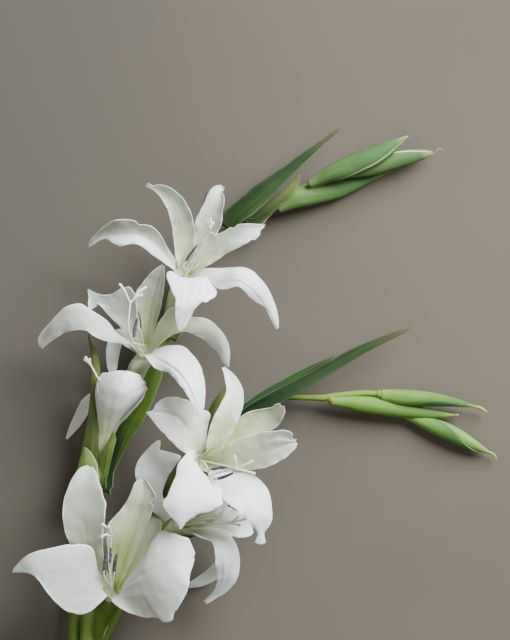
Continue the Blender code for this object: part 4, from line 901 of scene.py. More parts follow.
    "e": dict(throat=(50.5, 21.5, 26), axis=(0, 0.74, 0.67),
              tube=[(44.2, -6, 12.3), (44.9, 2, 15), (47.2, 11, 19.5)], tepals=[
        # upright, its rounded tip turned back into the light
        tepal([(45.5, 29, 29), (41, 39, 34.5), (38.3, 52, 38), (38, 64, 37.5), (39, 72, 35),
                (40.4, 78.2, 31)],
            left=[(46.5, 22), (42, 27), (36, 34), (32, 41), (29.5, 48), (28.2, 54), (28.1, 58.5),
                (28.9, 63.8), (30.8, 69), (33, 73.5), (36, 77.3), (39.3, 78.7)],
            right=[(50, 25), (47.5, 33), (46.4, 41), (46.5, 48), (47.1, 53.3), (47.5, 57.8), (47.9, 62),
                (46.6, 64.5), (45.8, 68.3), (44.3, 72), (43.6, 75), (41.7, 78)],
            phase=0.8, cup=0.07, grey=0.74, face=(-0.2, -0.2, 1), warm=[(0.42, 0.36, 0.3, 1.1, 1.2)],
            rolls=[(0.6, 0, 10), (0.85, -25, -30), (1, -50, -60)]),
        # broad, hanging to the left, with a lit lower rim
        tepal([(46.5, 22, 33), (38, 26.5, 39), (28.5, 30, 44), (17, 32.6, 44), (6, 31.1, 38)],
            left=[(49, 20.5), (47, 19), (44.3, 15.8), (39.8, 12.4), (35.3, 11.3), (30.8, 12.4), (27, 15),
                (23.3, 18.8), (20.3, 22.9), (17.3, 27.2), (14.3, 30.2), (10.5, 31.3), (7.5, 31.1),
                (5.6, 30.4)],
            right=[(49, 23.5), (47, 25.5), (45, 29), (43.5, 34), (42.8, 38.3), (41.3, 41.6), (38.3, 42.9),
                (32.3, 43.1), (27.8, 42.4), (22.5, 41.3), (17.3, 40.1), (12, 37.9), (8.3, 34.6),
                (5.8, 31.9)],
            cup=-0.05, phase=1.4, grey=0.36, face=(-0.2, 0, 1), green=0.1,
            warm=[(0.45, 0.5, 0.1, 1.2, 0.35), (0.75, 0.3, -0.9, 0.3, 0.3)],
            rolls=[(0.4, 0, 0), (0.75, 70, 0), (1, 60, 0)], ruffle=0.6),
        # the broadest, towards the viewer, with creases from its base
        tepal([(55, 22, 33), (62, 25.5, 41), (70, 30, 47), (79, 34.5, 49.5), (87.4, 38, 46)],
            left=[(52.5, 23), (57, 27), (60.8, 32.3), (66, 39.8), (68.3, 44.3), (71, 48), (73.6, 49.2),
                (78, 47.9), (82, 46.4), (84.8, 45.5), (86.3, 42.8), (87.9, 39)],
            right=[(52, 18.5), (53.8, 15.4), (57.8, 12.7), (63.8, 10.4), (68.3, 9.8), (71.8, 9.8),
                (73, 8.3), (75.3, 7.9), (77.4, 8.8), (78.6, 11.5), (81, 15.8), (83.3, 19.5), (85, 24.8),
                (85.5, 29.3), (86.9, 33.8), (87.7, 37)],
            cup=-0.07, phase=2.3, grey=0.35, face=(-0.1, 0.1, 1), green=0.1, ruffle=0.7, midrib=0.3,
            warm=[(0.3, 0.45, 0.3, 1, 0.35)], pleats=[(0.35, 0.2, -0.1, 0.05, 0.7),
                (0.35, 0.2, -0.2, 0.06, -0.5), (0.3, 0.2, 0.3, 0.07, 0.5), (0.6, 0.2, -0.5, 0.06, 0.3),
                (0.6, 0.2, -0.3, 0.06, 0.3)]),
        # upright, cream-green along its middle, its bright tip folded over
        tepal([(53, 28, 27), (55.5, 41, 31), (60, 55, 34), (63.2, 64, 36), (64.4, 72, 35)],
            left=[(50.5, 25), (48.9, 35), (48, 45), (48.4, 52), (50.3, 54.2), (54.8, 59.3), (57.8, 63.8),
                (59.3, 67.5), (60.8, 70.9), (63.4, 72.8)],
            right=[(53.5, 23), (57, 31), (61.5, 41), (65.6, 51), (67.7, 55.5), (69.2, 60.6), (67.4, 62.2),
                (70.2, 64), (69.4, 66.6), (67.5, 69.6), (65.4, 72.4)],
            wave=0.4, fold=0.15, phase=0.2, grey=1.05, face=(-0.15, -0.3, 1), green=2.2, crisp=0.12,
            rolls=[(0.6, 0, 0), (0.85, -20, 50), (1, -30, 60)],
            pleats=[(0.45, 0.35, 0.25, 0.12, -0.7), (0.45, 0.35, -0.2, 0.12, 0.5)]),
        tepal([(55, 26, 24), (62.5, 40, 23), (68.5, 52, 20.5), (71.5, 60, 18.5)],
            [(0, 3), (0.3, 5), (0.55, 6.2), (0.8, 4.4), (1, 0.5)], wave=0.5, phase=1.7, grey=0.6,
            face=(-0.1, 0, 1), green=1.9, warm=[(0.6, 0.5, 0, 2, 0.7)]),
        tepal([(49, 29, 24), (47, 40, 24), (46.5, 50, 22.5)],
            [(0, 3), (0.3, 4.4), (0.55, 5.5), (0.8, 4), (1, 0.5)], wave=0.5, phase=2.9, grey=0.6, green=1.6,
            warm=[(0.6, 0.5, 0, 2, 0.8)]),
    ]),
    "f": dict(throat=(51.8, 105.2, 24.6), axis=(0.3, 0.88, 0.36),
              tube=[(43.6, 76.5, 12.3), (44.8, 82, 14), (46.6, 88.5, 16.7)], tepals=[
        tepal([(49, 103.5, 19.6), (45, 108.5, 17), (39.6, 107.5, 12.5), (34.5, 99, 6), (28.8, 89.8, 0.6)],
            [(0, 2.4), (0.3, 2.4), (0.6, 2.8), (0.8, 2.2), (0.93, 1.2), (1, 0.4)], phase=1,
            face=(-0.1, 0, 1), warm=[(0.6, 0.8, 0, 2, 0.4)], green=0.3),
    ]),
}


# Flower f is half open: a cup of overlapping tepals on rings from its tube to its mouth

# each ring: its place, and how far it reaches to the side and upwards
cupRings = [
    (43.6, 76.5, 12.3, 1.4, 1.4), (44.8, 82, 14, 2, 2), (46.6, 88.5, 16.7, 2.5, 2.3),
    (48.9, 97, 20.8, 4.6, 3.9), (50.4, 101.6, 23, 6.6, 5.4), (52.3, 106.5, 25.5, 8.9, 7.2),
    (54, 111.5, 28, 10.9, 8.4), (55.2, 115.5, 29.5, 10.7, 8), (56.2, 120.2, 31, 8.6, 6.6),
]
cupTepals = [
    # share of the length, start angle, end angle: 90 degrees is up, and each one laps over the next
    dict(reach=0.93, turn=[(0, 120, 330), (0.5, 150, 300), (0.85, 160, 285), (1, 200, 240)], off=-0.4,
        seed=5),
    dict(reach=0.95, turn=[(0, -120, 60), (0.5, -90, 45), (0.85, -80, 25), (1, -50, -10)], off=-0.4, seed=7),
    dict(reach=0.9, turn=[(0, 210, 340), (0.5, 220, 325), (0.85, 235, 300), (1, 255, 285)], off=-1, seed=11),
]
# the tepal that closes the cup towards the viewer, by its two margins as they are seen
cupFront = tepal(
    [(44.6, 80, 14.5), (46.8, 88.5, 19.4), (49.5, 97, 25), (51.8, 104, 31), (54.2, 111.5, 35.5),
        (55.6, 117, 36.4), (56.2, 121, 35.6)],
    left=[(43.2, 79), (43.9, 86), (43.9, 93), (43.4, 101), (42.7, 109), (42.6, 113.5), (43.2, 116.4),
        (45, 118.4), (48.8, 120.4), (52.5, 121.1), (55.8, 121.2)],
    right=[(46, 82), (49.5, 90.8), (51.8, 94.7), (54, 99), (56.3, 102), (60, 105.8), (63, 108.8),
        (65.3, 111.6), (66.4, 113.4), (65, 114.6), (65.3, 115.9), (63.6, 117.4), (63, 119), (60.5, 120.2),
        (56.8, 121.2)],
    cup=-0.26, wave=0.25, ruffle=0.7, midrib=0.2,
    pleats=[(0.6, 0.4, 0.72, 0.07, 0.6), (0.6, 0.4, 0.5, 0.08, 0.5), (0.55, 0.4, -0.2, 0.12, -0.5)],
)
cupLook = {
    "rows": 70,
    "columns": 36,
    "thickness": 0.45,
    "uneven": 0.4,
    "bend": 0.8,             # how far the tips stand off the cup
    # painted shade over the tepals at the back of the cup
    "grey": 0.6,
    "green": 0.75,           # at its foot
}


def wrapPart(rings, spec, off, look, seed):
    # a thin sheet that is wrapped round a path of rings, between two angles that change along it
    table = smoothPath(rings, 120)
    at = np.linspace(0, spec["reach"], look["rows"] + 1)
    line = np.column_stack([np.interp(at, np.linspace(0, 1, len(table)), column) for column in table.T])
    shares = np.linspace(0, 1, len(line))
    t, s = np.meshgrid(shares, np.linspace(-1, 1, look["columns"] + 1), indexing="ij")
    low, high = softTable(spec["turn"], shares, 0.02)
    angles = np.radians(low)[:, None] + np.radians(high - low)[:, None] * (0.5 * s + 0.5)
    side, up = acrossFrames(pathWays(line))
    wide, tall = line[:, 3, None] + off, line[:, 4, None] + off
    middle = besideLine(line, side, up, wide * np.cos(angles), tall * np.sin(angles))
    normals = gridNormals(middle)
    outward = unit(middle - line[:, None, :3])
    normals = normals * np.sign(np.sum(normals * outward, axis=-1, keepdims=True))
    lift = look["uneven"] * unevenness(middle, 6.0, seed) * clipped(t * 3)
    lift = lift + look["bend"] * clipped((t - 0.75) / 0.25) ** 2 * (0.4 + 0.6 * np.abs(s))
    middle = middle + normals * lift[..., None]
    halfThick = 0.5 * look["thickness"] * (1 - 0.5 * np.abs(s) ** 3)
    return (middle, normals, halfThick, np.stack([s * 0.5 + 0.5, t], axis=-1)), t, s


def cupPart(spec):
    wrap, t, s = wrapPart(cupRings, spec, spec["off"], cupLook, spec["seed"])
    # painted shade all over these tepals
    return skinPart(*wrap, tintGrid(t.shape, cupLook["green"] * clipped(1 - t / 0.6), cupLook["grey"]))


def cupFrontPart():
    line = smoothPath(cupFront["points"], tepalLook["rows"])
    blade, t, s = bladePart(line, upwards, cupFront, tepalLook, 31)
    green = cupLook["green"] * clipped(1 - t / 0.8)
    # painted shade, more of it towards its foot
    grey = 0.05 + 0.55 * clipped(1 - t / 0.85)
    # painted highlight along its margins
    edge = 0.8 * clipped((np.abs(s) - 0.95) / 0.04)
    return skinPart(*blade, tintGrid(t.shape, green, grey, edge))


for index, (letter, flower) in enumerate(flowers.items()):
    parts = [tepalPart(flower, spec, 10 * index + number + 1) for number, spec in enumerate(flower["tepals"])]
    if letter == "f":
        parts += [cupPart(spec) for spec in cupTepals] + [cupFrontPart()]
    else:
        parts.append(tubePart(flower))
    makePiece("bloom_" + letter + "_petals", parts, [petal], "bloom", "bloom_" + letter)
    print("flower", letter, "made")


# Stamens and styles

# each anther: where it starts, where it ends, how fat it is, and whether it is as white as its filament
antherPlaces = {
    "a": [((82.6, 168.3, 35), (89, 177.6, 40), 0.6, False), ((85.5, 169.5, 37), (91.2, 178.2, 42), 0.5, True),
          ((88, 167.5, 39), (94.4, 175.6, 45), 0.5, True)],
    "b": [((60.2, 133.8, 37), (62.2, 145, 39), 0.85, False),
          ((63.6, 138, 33), (62.6, 147.9, 36), 0.45, False),
          ((58.2, 138.5, 33), (58.8, 148.6, 36), 0.5, False)],
    "c": [((94, 76.9, 44), (103, 78.7, 50), 0.8, False), ((96, 72.9, 49), (105.3, 76.2, 54), 0.8, False),
          ((95, 74.9, 47), (104, 77.2, 53), 0.5, True)],
    "d": [((88.5, 52.9, 25.5), (97, 54.8, 31), 0.45, True), ((88.5, 54.6, 26), (97, 58.4, 31.5), 0.45, True),
          ((88.5, 53.6, 27.5), (96.5, 56.2, 34), 0.45, True)],
    "e": [((47.2, 29.8, 38), (48.9, 41.2, 42), 1, False), ((49.3, 33, 36), (50.1, 43, 39), 0.7, False),
          ((51.6, 29.6, 38), (53.1, 39.6, 42), 1, False)],
    "f": [((52, 106.5, 27), (52.5, 114.5, 30), 1, False), ((54, 106.5, 27), (56.5, 114, 29.5), 1, False),
          ((54.5, 105.5, 25.5), (58.5, 112, 26.5), 1, False)],
}
stamenLook = {
    "filament": 0.42,
    "filamentSides": 10,
    "filamentRows": 28,
    "anther": 0.8,
    "antherSides": 16,
    "antherRows": 30,
    "seat": 0.4,             # how high in the throat the filaments start
    "rise": 4.0,             # how far they keep together
    "sag": (-0.3, 0.4),      # how far the anthers bend sideways, in turn
}


def throatSeat(flower, height):
    throat, axis = flowerAxis(flower)
    return throat - axis * (throatLook["depth"] - 0.9 - height)


def stamenParts(letter):
    look = stamenLook
    foot = throatSeat(flowers[letter], look["seat"])
    above = throatSeat(flowers[letter], look["seat"] + look["rise"])
    parts = []
    for index, (start, end, fatness, white) in enumerate(antherPlaces[letter]):
        start, end = np.array(start, float), np.array(end, float)
        path = [foot, above + (start - above) * 0.12, start, start + (end - start) * 0.25]
        line = smoothPath(path, look["filamentRows"])
        shares = np.linspace(0, 1, len(line))
        radii = look["filament"] * (1.15 - 0.45 * shares)
        parts.append(rodPart(line, radii, look["filamentSides"], green=0.5 * (1 - shares)))
        sag = unit(np.cross(end - start, upwards)) * look["sag"][index % 2]
        line = smoothPath([start, 0.5 * (start + end) + sag, end], look["antherRows"])
        shares = np.linspace(0, 1, len(line))
        swell = np.sin(np.pi * (0.12 + 0.8 * shares)) ** 0.5
        radii = np.maximum(look["anther"] * fatness * swell, 0.12)
        radii[0] = radii[-1] = 0.08
        part = rodPart(line, radii, look["antherSides"], squash=0.85, lobes=2, lobeDepth=0.16)
        part["kind"] = 0 if white else 1
        parts.append(part)
    return parts


# each style: its path over the throat, and the ends of its three branches
stylePlaces = {
    "a": ([(86.6, 168.4, 39.5), (94.5, 184, 49)],
          [(93.4, 188.4, 49.5), (94.9, 189.4, 50), (96.4, 187.8, 49)]),
    "b": ([(58.6, 138.6, 40), (59, 152, 41)], [(54, 160.4, 41), (64.6, 155.2, 41), (66.3, 159, 39)]),
    "c": ([(96.8, 80.2, 49), (106, 78.2, 56)], [(105.4, 84.2, 57), (113.8, 81.8, 57.5), (115, 75.8, 57)]),
    "d": ([(88.6, 52.5, 29.2), (95, 52.4, 34), (103, 53, 38)],
          [(107.5, 56.3, 38), (110.8, 55.2, 38.5), (108.5, 52, 38.5)]),
    "e": ([(49.6, 33, 33), (50.6, 48, 42)], [(49.2, 52.4, 44.5), (46.2, 53.2, 44), (45.8, 47, 43.5)]),
    "f": ([(50.2, 109.2, 26), (47.6, 113.4, 28), (44.2, 118, 30.5), (41, 123.8, 32)],
          [(38.4, 127.6, 32), (37.8, 126.4, 31.6), (40.8, 126.8, 32)]),
}
styleLook = {
    "radius": 0.36,
    "branch": 0.40,          # the radius of a branch, and under it that of its tip
    "tip": 0.62,
    "sides": 12,
    "rows": 40,
    "branchRows": 24,
    "seatOffset": 1.4,       # how far beside the filaments it starts
    "bend": 0.8,             # how far a branch goes on straight before it turns aside
}


def styleParts(letter):
    look = styleLook
    flower = flowers[letter]
    axis = flowerAxis(flower)[1]
    path, ends = stylePlaces[letter]
    path, ends = np.array(path, float), np.array(ends, float)
    aside = path[0] - np.mean([place[0] for place in antherPlaces[letter]], axis=0)
    aside = unit(aside - axis * np.dot(aside, axis))
    foot = throatSeat(flower, stamenLook["seat"]) + aside * look["seatOffset"]
    high = path[-1]
    way = unit(high - path[-2])
    line = smoothPath([foot, *path, high + way * 0.5], look["rows"])
    shares = np.linspace(0, 1, len(line))
    radii = look["radius"] * (0.85 + 0.3 * shares)
    parts = [rodPart(line, radii, look["sides"], green=0.6 * (1 - shares) ** 2)]
    for end in ends:
        path = [high - way * 0.6, 0.5 * (high + end) + way * look["bend"], end]
        line = smoothPath(path, look["branchRows"])
        shares = np.linspace(0, 1, len(line))
        radii = 0.8 * look["branch"] * (1 - shares ** 2) + look["tip"] * shares ** 2
        radii[-2:] = radii[-2:] * [0.8, 0.35]
        parts.append(rodPart(line, radii, look["sides"], squash=0.8, lobes=2, lobeDepth=0.12))
    return parts


stamens = []
styles = []
for letter in flowers:
    stamens += stamenParts(letter)
    styles += styleParts(letter)
makePiece("stamenSet", stamens, [thread, anther], "stamens", *["stamens_" + letter for letter in flowers])
makePiece("styleSet", styles, [thread], "style", *["style_" + letter for letter in flowers])
print("stamens and styles made")


# Bracts

bractLook = {
    "rows": 70,
    "columns": 24,
    "thickness": 0.6,
    "marginThickness": 0.25,
    "ruffle": 0.08,
    "unevenness": 0.2,
    "midribDepth": -0.15,    # less than 0, so it stands out
    "midribWidth": 0.10,
    "ribDepth": 0.05,
}
# edges: how pale the left and the right margin are; tip: how brown it ends; dark: spots where it is darker
bractUsual = dict(bladeUsual, cup=-0.1, fold=-0.2, wave=0.15, turns=1.5, crisp=0.12, finish="bractGreen",
                  edges=(0.6, 0.6), tip=0.6, dark=[])


def bract(points, width, peak=0.35, **looks):
    # width, and the share of the length where it is that wide: they shape it where it has no traced margins
    margins = []
    for t in np.linspace(0, 1, 15):
        if t < peak:
            wide = width / 4 * (1 + math.sin(0.5 * math.pi * t / peak) ** 1.2)
        else:
            wide = max(width / 2 * math.cos(0.5 * math.pi * (t - peak) / (1 - peak)), 0.3)
        margins.append((t, wide))
    return dict(bractUsual, points=points, margins=margins, phase=width, **looks)


bracts = {
    "bract_e_outer": bract([(45.4, -8, 16.8), (45.6, 2, 20.6), (47.6, 9, 24), (51.6, 17.2, 28)], 9.5,
        left=[(43.2, -6), (43.3, 0), (43.1, 6), (43.4, 11), (44.4, 15.5), (48, 20)],
        right=[(46.4, -6), (46.4, -1), (46.8, 3.6), (49, 7.4), (51, 10.6), (53.2, 14.6), (53.6, 19)],
        cup=-0.12, edges=(0.1, 0.3), finish="bractBright"),
    "bract_e_inner": bract([(39.6, -12, 14.8), (39.8, -4, 15.2), (40.4, 5, 15.8), (42.4, 17.6, 17.4)], 6,
        left=[(36, -11), (35.9, -4), (36.1, 5), (37, 13), (41.6, 18)],
        right=[(43.6, -11), (44.2, -4), (44.8, 5), (45.4, 13), (43.2, 18)],
        cup=-0.16, edges=(0.1, 0.2), dark=[(0.5, 0.8, -0.95, 0.3, 0.7)]),
    "bract_f_outer": bract([(38.6, 64, 12.6), (39.6, 76, 15.8), (41.2, 90, 20.6), (42.4, 106, 24.4),
            (42.8, 120, 26.4), (40.2, 137.5, 29)], 9,
        left=[(33.2, 68), (34.2, 74.5), (36.4, 84.6), (38.5, 94.7), (40, 104.8), (40.7, 113.4), (41.1, 122),
            (40.8, 130), (39.4, 137.4)],
        right=[(44.4, 68), (44.8, 76), (44.6, 84), (44.4, 92), (44.6, 102.6), (44.6, 113.4), (45, 120.6),
            (44.4, 126), (42.2, 133), (39.8, 137.6)],
        cup=-0.06, finish="bractOlive", edges=(0.15, 0.15), tip=0.5, dark=[(0.5, 0.2, -0.2, 1.5, 0.55)]),
    "bract_f_inner": bract([(44.9, 69, 12.8), (47, 77, 16.8), (48.8, 85, 21.2), (51, 93.5, 25.6)], 6,
        left=[(44.4, 70), (44, 76), (44.3, 81.7), (46.6, 86.4), (48.8, 90), (50.8, 93.6)],
        right=[(46.8, 69), (48.6, 75), (49.8, 80.3), (51.2, 86), (52.2, 90), (51.6, 93.8)],
        edges=(0.5, 0.15)),
    "bract_b_outer": bract([(46.6, 66, 10.4), (50.6, 78, 12.6), (56, 91, 15.8), (62.6, 104, 18.8),
            (68, 116, 18.6), (72.5, 129, 18)], 9.4,
        left=[(45.8, 68), (48.2, 75), (49.8, 82), (52.4, 91.8), (55.8, 99), (59.4, 107), (62.4, 114),
            (65.4, 121), (70.6, 129.6)],
        right=[(47, 67.6), (49.2, 72), (53.6, 80.3), (58, 88.9), (63, 96.1), (67.3, 104), (70.2, 111.2),
            (73, 119), (73.4, 129)],
        cup=-0.04, fold=-0.1, finish="bractBright", edges=(0.1, 0.45),
        dark=[(0.12, 0.26, -0.1, 1.4, 0.82), (0.32, 0.16, -0.8, 0.7, 0.7)]),
    "bract_a_outer": bract([(77.2, 135, 11.6), (82.6, 146, 14), (86.5, 160, 17), (89, 178, 20),
            (91, 190, 22), (93.4, 203, 23)], 7.5, 0.3, cup=-0.08, finish="bractOlive"),
    "bract_a_inner": bract([(70.4, 129, 11.3), (69.4, 137, 13.2), (69.6, 146, 15), (71, 155, 16.4)], 5.6,
        0.4),
    "bract_b_inner": bract([(45.8, 90, 8), (48, 98, 9.8), (52.2, 108.5, 12.2), (57, 120, 15)], 4.6, 0.4),
    "bract_c_outer": bract([(73, 56, 12.2), (73.6, 61.5, 17), (75.8, 68.5, 23), (77.6, 74, 26.5),
            (80.6, 79.6, 30.5)], 4, 0.4, finish="bractOlive", edges=(0.5, 0.2)),
    "bract_c_inner": bract([(82, 69.5, 11.7), (87.6, 80, 14.3), (93, 92, 18), (98, 107, 22),
            (104.5, 117.5, 24)], 7, 0.4, cup=-0.08, finish="bractOlive", tip=0.3),
    "bract_d_outer": bract([(67.2, 33, 8.6), (72.5, 39, 11.6), (80, 44.3, 13.2), (88, 46.5, 12)], 6, 0.4),
    "bract_left_long": bract([(101.4, 186, 10.9), (107.4, 193.4, 12.9), (118, 201.6, 14.5),
            (130, 211.4, 14), (142, 221.4, 13), (153, 230.2, 12)], 9.2,
        left=[(98.9, 187), (101, 191.7), (107.3, 198), (116.5, 205.8), (126.4, 212.1), (135.5, 218.8),
            (143.3, 224.1), (148.9, 228.2), (152.6, 230.4)],
        right=[(104.6, 185), (111.6, 190.1), (118.1, 195.2), (122.8, 200.2), (127.7, 205.2), (133.8, 211.7),
            (138.5, 216.5), (144.7, 222.4), (149.3, 227), (153, 230)],
        cup=-0.03, fold=0.2, finish="bractDark", edges=(0.25, 0.5), tip=1.3,
        dark=[(0.45, 0.4, -0.7, 0.7, 0.5)]),
    "bract_left_olive": bract([(111.6, 186.4, 10.9), (116.6, 190.4, 11.9), (123.2, 196, 12.8),
            (129.6, 202.2, 13.4), (134.9, 209.4, 13)], 6.4,
        left=[(106.6, 184.8), (110.2, 188.3), (116.9, 193.3), (123.2, 198.5), (127.4, 202.2),
            (131.8, 206.9), (133.5, 208.9), (134.8, 209.7)],
        right=[(115, 184.2), (118.6, 187.4), (120.4, 189.6), (123.9, 193.6), (125.6, 195.4), (129.2, 198.9),
            (133, 202.7), (134.6, 206), (135.1, 209.4)],
        cup=-0.06, finish="bractOlive", edges=(0.1, 1), dark=[(0.15, 0.5, 0, 2, 0.95)]),
    "bract_right_long": bract([(106.5, 98.6, 11.6), (114, 103.2, 13.2), (128, 111, 14.5),
            (147, 121.8, 14.5), (165, 131.2, 14), (185, 140.6, 12.5)], 8.6,
        left=[(106.4, 99.4), (112.9, 105.9), (121.8, 111.6), (129.9, 115.6), (140, 120.8), (151.7, 127.6),
            (159.8, 131.9), (169.6, 135.9), (177.7, 138.8), (184.7, 140.7)],
        right=[(109, 96.5), (116.1, 101.6), (125.4, 106.3), (134.7, 111.2), (142, 115.7), (150.1, 120.5),
            (158.2, 125.4), (166.3, 130.2), (174.4, 134.3), (181.7, 138), (185, 140.4)],
        cup=-0.03, fold=0.2, finish="bractDark", edges=(0.4, 0.4), tip=1.3,
        dark=[(0.15, 0.3, 0, 2, 0.6), (0.6, 0.3, -0.7, 0.6, 0.4)]),
    "bract_right_second": bract([(106.5, 101.8, 10.8), (116, 107.4, 11), (128, 114, 11.2),
            (140, 121.4, 11.4), (151.6, 128.2, 11.4)], 6.4, 0.36, cup=-0.04, finish="bractDark",
        edges=(0.8, 0.5), tip=1.2),
    "leaf_fork": bract([(36, -64, 10.2), (35.5, -50, 11.8), (36, -36, 12.8), (38, -20, 12.4)], 8.5, 0.4,
        cup=-0.16),
}
# a short sheath at the foot of flower f, which rides with the green bracts
sheath = bract([(39.4, 62, 17), (39, 70, 19.5), (38.6, 79, 21.2), (38, 86.4, 21.6)], 8,
    left=[(33.6, 64), (33.8, 72), (35.6, 80), (37.6, 86.8)],
    right=[(44.8, 64), (44.7, 70), (44.3, 75.2), (43.2, 80.3), (40.7, 84.6), (38.3, 86.9)],
    edges=(0.2, 1.6), tip=0.2, dark=[(0.5, 1, -0.5, 1.1, 0.4)])


def bractPart(spec, seed):
    line = smoothPath(spec["points"], bractLook["rows"])
    blade, t, s = bladePart(line, upwards, spec, bractLook, seed)
    pale = np.where(s < 0, *spec["edges"]) * clipped((np.abs(s) - 0.84) / 0.14) ** 1.5
    brown = spec["tip"] * clipped((t - 0.76) / 0.24) ** 1.3
    return skinPart(*blade, tintGrid(t.shape, pale, brown, spots(t, s, spec["dark"])))


for finish in sorted({spec["finish"] for spec in bracts.values()}):
    names = [name for name, spec in bracts.items() if spec["finish"] == finish]
    parts = [bractPart(bracts[name], 40 + 3 * list(bracts).index(name)) for name in names]
    if finish == sheath["finish"]:
        parts.append(bractPart(sheath, 37))
    makePiece(finish + "Set", parts, [leaves[finish]], finish.replace("bract", "bract_").lower(), *names)
print("bracts made")


# Buds: a spindle in a wrapped bract, whose margin crosses it as a pale line

# reach: how far along it the bract reaches; foot, tip: their width as a share of the widest place
# blunt: how fast it narrows to its tip, less for a blunter one
# pale, rim: how pale its margin is, and where that starts across the bract
# paleFrom: where it starts along the bract, and how fast it grows; streak: spots where the bract is darker
budUsual = dict(reach=0.97, foot=0.3, blunt=0.9, tip=0.05, pale=0.9, rim=0.9, paleFrom=(0, 0.35), streak=[])


def bud(points, width, height, peak, turn, tail, **looks):
    # peak: where it is widest; tail: a thin dry thread at the tip and its radius
    # turn: share of the length, and the two angles that the bract wraps between, where 90 degrees is up
    return dict(budUsual, points=points, width=width, height=height, peak=peak, turn=turn, tail=tail, **looks)


buds = {
    "bud_left_lower": bud([(125, 195, 7.2), (132.6, 199.2, 7.6), (142, 201.6, 6.2), (152, 203.6, 4.6),
            (162, 207, 3.6), (176, 211.6, 3.4)], 9.6, 7.2, 0.26,
        [(0, -60, 250), (0.4, -40, 200), (0.8, -20, 160), (1, 40, 130)],
        ([(174.6, 211.2, 3.5), (176.4, 211.8, 3.6)], 0.45), foot=0.5, pale=0.5,
        streak=[(0.7, 0.3, 0.8, 0.4, 0.6)]),
    "bud_left_upper": bud([(139.5, 205.6, 11.1), (148.5, 210.3, 12.8), (158.4, 213.9, 13.4),
            (170.6, 219.2, 13), (184.3, 227.4, 11.5)], 9.6, 7.8, 0.54,
        [(0, -40, 260), (0.3, 10, 220), (0.5, 36, 205), (0.75, 48, 190), (1, 60, 150)],
        ([(182.6, 226.4, 11.6), (184.3, 227.5, 11.4)], 0.5), reach=0.985, pale=1, rim=0.86),
    "bud_left_end": bud([(153, 209.6, 8.8), (166, 212.9, 8.6), (178.6, 216.9, 7.4), (188, 219, 6.2),
            (195.4, 220.2, 5.4)], 8, 7, 0.56,
        [(0, -80, 200), (0.4, -60, 160), (0.8, -40, 132), (1, -20, 112)], ([(194.4, 220.4, 5.8),
            (196, 219.4, 6), (197.4, 221.4, 6.4), (199, 221.9, 6.4), (200.4, 220.9, 6)], 0.24), reach=0.98,
        blunt=0.55, tip=0.2, rim=0.86),
    "bud_right_lower": bud([(149, 107.5, 6.3), (160.7, 106.3, 5.4), (173, 104.6, 4.7), (183.8, 102.8, 4.4),
            (196.8, 101.1, 4.2), (207.2, 100.7, 3.9)], 7.8, 6.8, 0.38,
        [(0, -60, 240), (0.4, -30, 180), (0.8, -10, 150), (1, 40, 130)],
        ([(205.8, 100.9, 3.9), (207.6, 100.6, 3.8)], 0.5), foot=0.52, pale=0.3),
    "bud_right_middle": bud([(172.2, 109.8, 6), (183.8, 108.6, 6.6), (194.6, 107.9, 6.4),
            (205.2, 106.4, 5.8), (217, 104.2, 4.8)], 7, 5.8, 0.26,
        [(0, -40, 250), (0.4, 0, 190), (0.8, 30, 170), (1, 60, 140)],
        ([(215.2, 104.6, 5), (218, 103.6, 4.8), (220.2, 102, 4.6)], 0.75), foot=0.66, pale=0.35, tip=0.12,
        streak=[(0.55, 0.25, -0.5, 0.3, 0.95)]),
    "bud_right_end": bud([(182, 101.2, 3.2), (192, 97.6, 3.2), (203, 93, 3.4), (212.6, 88, 3.4),
            (223, 82.8, 3.6)], 7.8, 7.2, 0.5,
        [(0, -80, 220), (0.4, -60, 150), (0.6, -60, 115), (0.84, -60, 60), (1, -40, 10)],
        ([(220.6, 84, 3.6), (223.4, 82.8, 3.6), (224.7, 80.6, 3.5)], 0.6), reach=0.86, pale=0.4,
        paleFrom=(0.68, 0.2), streak=[(0.45, 0.35, 0.9, 0.35, 0.5)]),
}
budLook = {"rows": 90, "sides": 40, "bodyShare": 0.94}
# off: how far the bract stands off the bud
budWrap = {"rows": 80, "columns": 30, "thickness": 0.35, "uneven": 0.12, "bend": 0, "off": 0.05}


def budShares(spec, shares):
    peak = spec["peak"]
    rising = spec["foot"] + (1 - spec["foot"]) * np.sin(0.5 * np.pi * clipped(shares / peak))
    falling = np.cos(0.5 * np.pi * clipped((shares - peak) / (1 - peak))) ** spec["blunt"]
    return np.where(shares < peak, rising, np.maximum(falling, spec["tip"]))


def budParts(spec, seed):
    line = smoothPath(spec["points"], budLook["rows"])
    shares = np.linspace(0, 1, len(line))
    radii = spec["width"] / 2 * budShares(spec, shares)
    squash = spec["height"] / spec["width"]
    body = rodPart(line, radii * budLook["bodyShare"], budLook["sides"], squash=squash, lobes=3,
                   lobeDepth=0.02, lowest=0.0)
    along = np.append(np.repeat(shares, budLook["sides"]), [0, 1])
    pale = 0.25 * clipped(1 - along / 0.12)
    body["tint"] = tintGrid(along.shape, pale, 0.7 * clipped((along - 0.85) / 0.15))
    rings = np.column_stack([line, radii, radii * squash])[::6]
    wrap, t, s = wrapPart(rings, spec, budWrap["off"], budWrap, seed)
    begins, grows = spec["paleFrom"]
    pale = spec["pale"] * clipped((np.abs(s) - spec["rim"]) / 0.07) * clipped((t - begins) / grows)
    brown = 0.75 * clipped((t - 0.88) / 0.12) + 0.45 * clipped(1 - t / 0.13)
    dark = 0.5 * hill(t, 0.75, 0.3) + spots(t, s, spec["streak"])
    places, radius = spec["tail"]
    tail = rodPart(smoothPath(places, 20), radius * np.sin(np.linspace(0.9, 2.6, 21)), 12)
    tail["tint"][:, 1] = 1.0
    return [body, skinPart(*wrap, tintGrid(t.shape, pale, brown, dark)), tail]


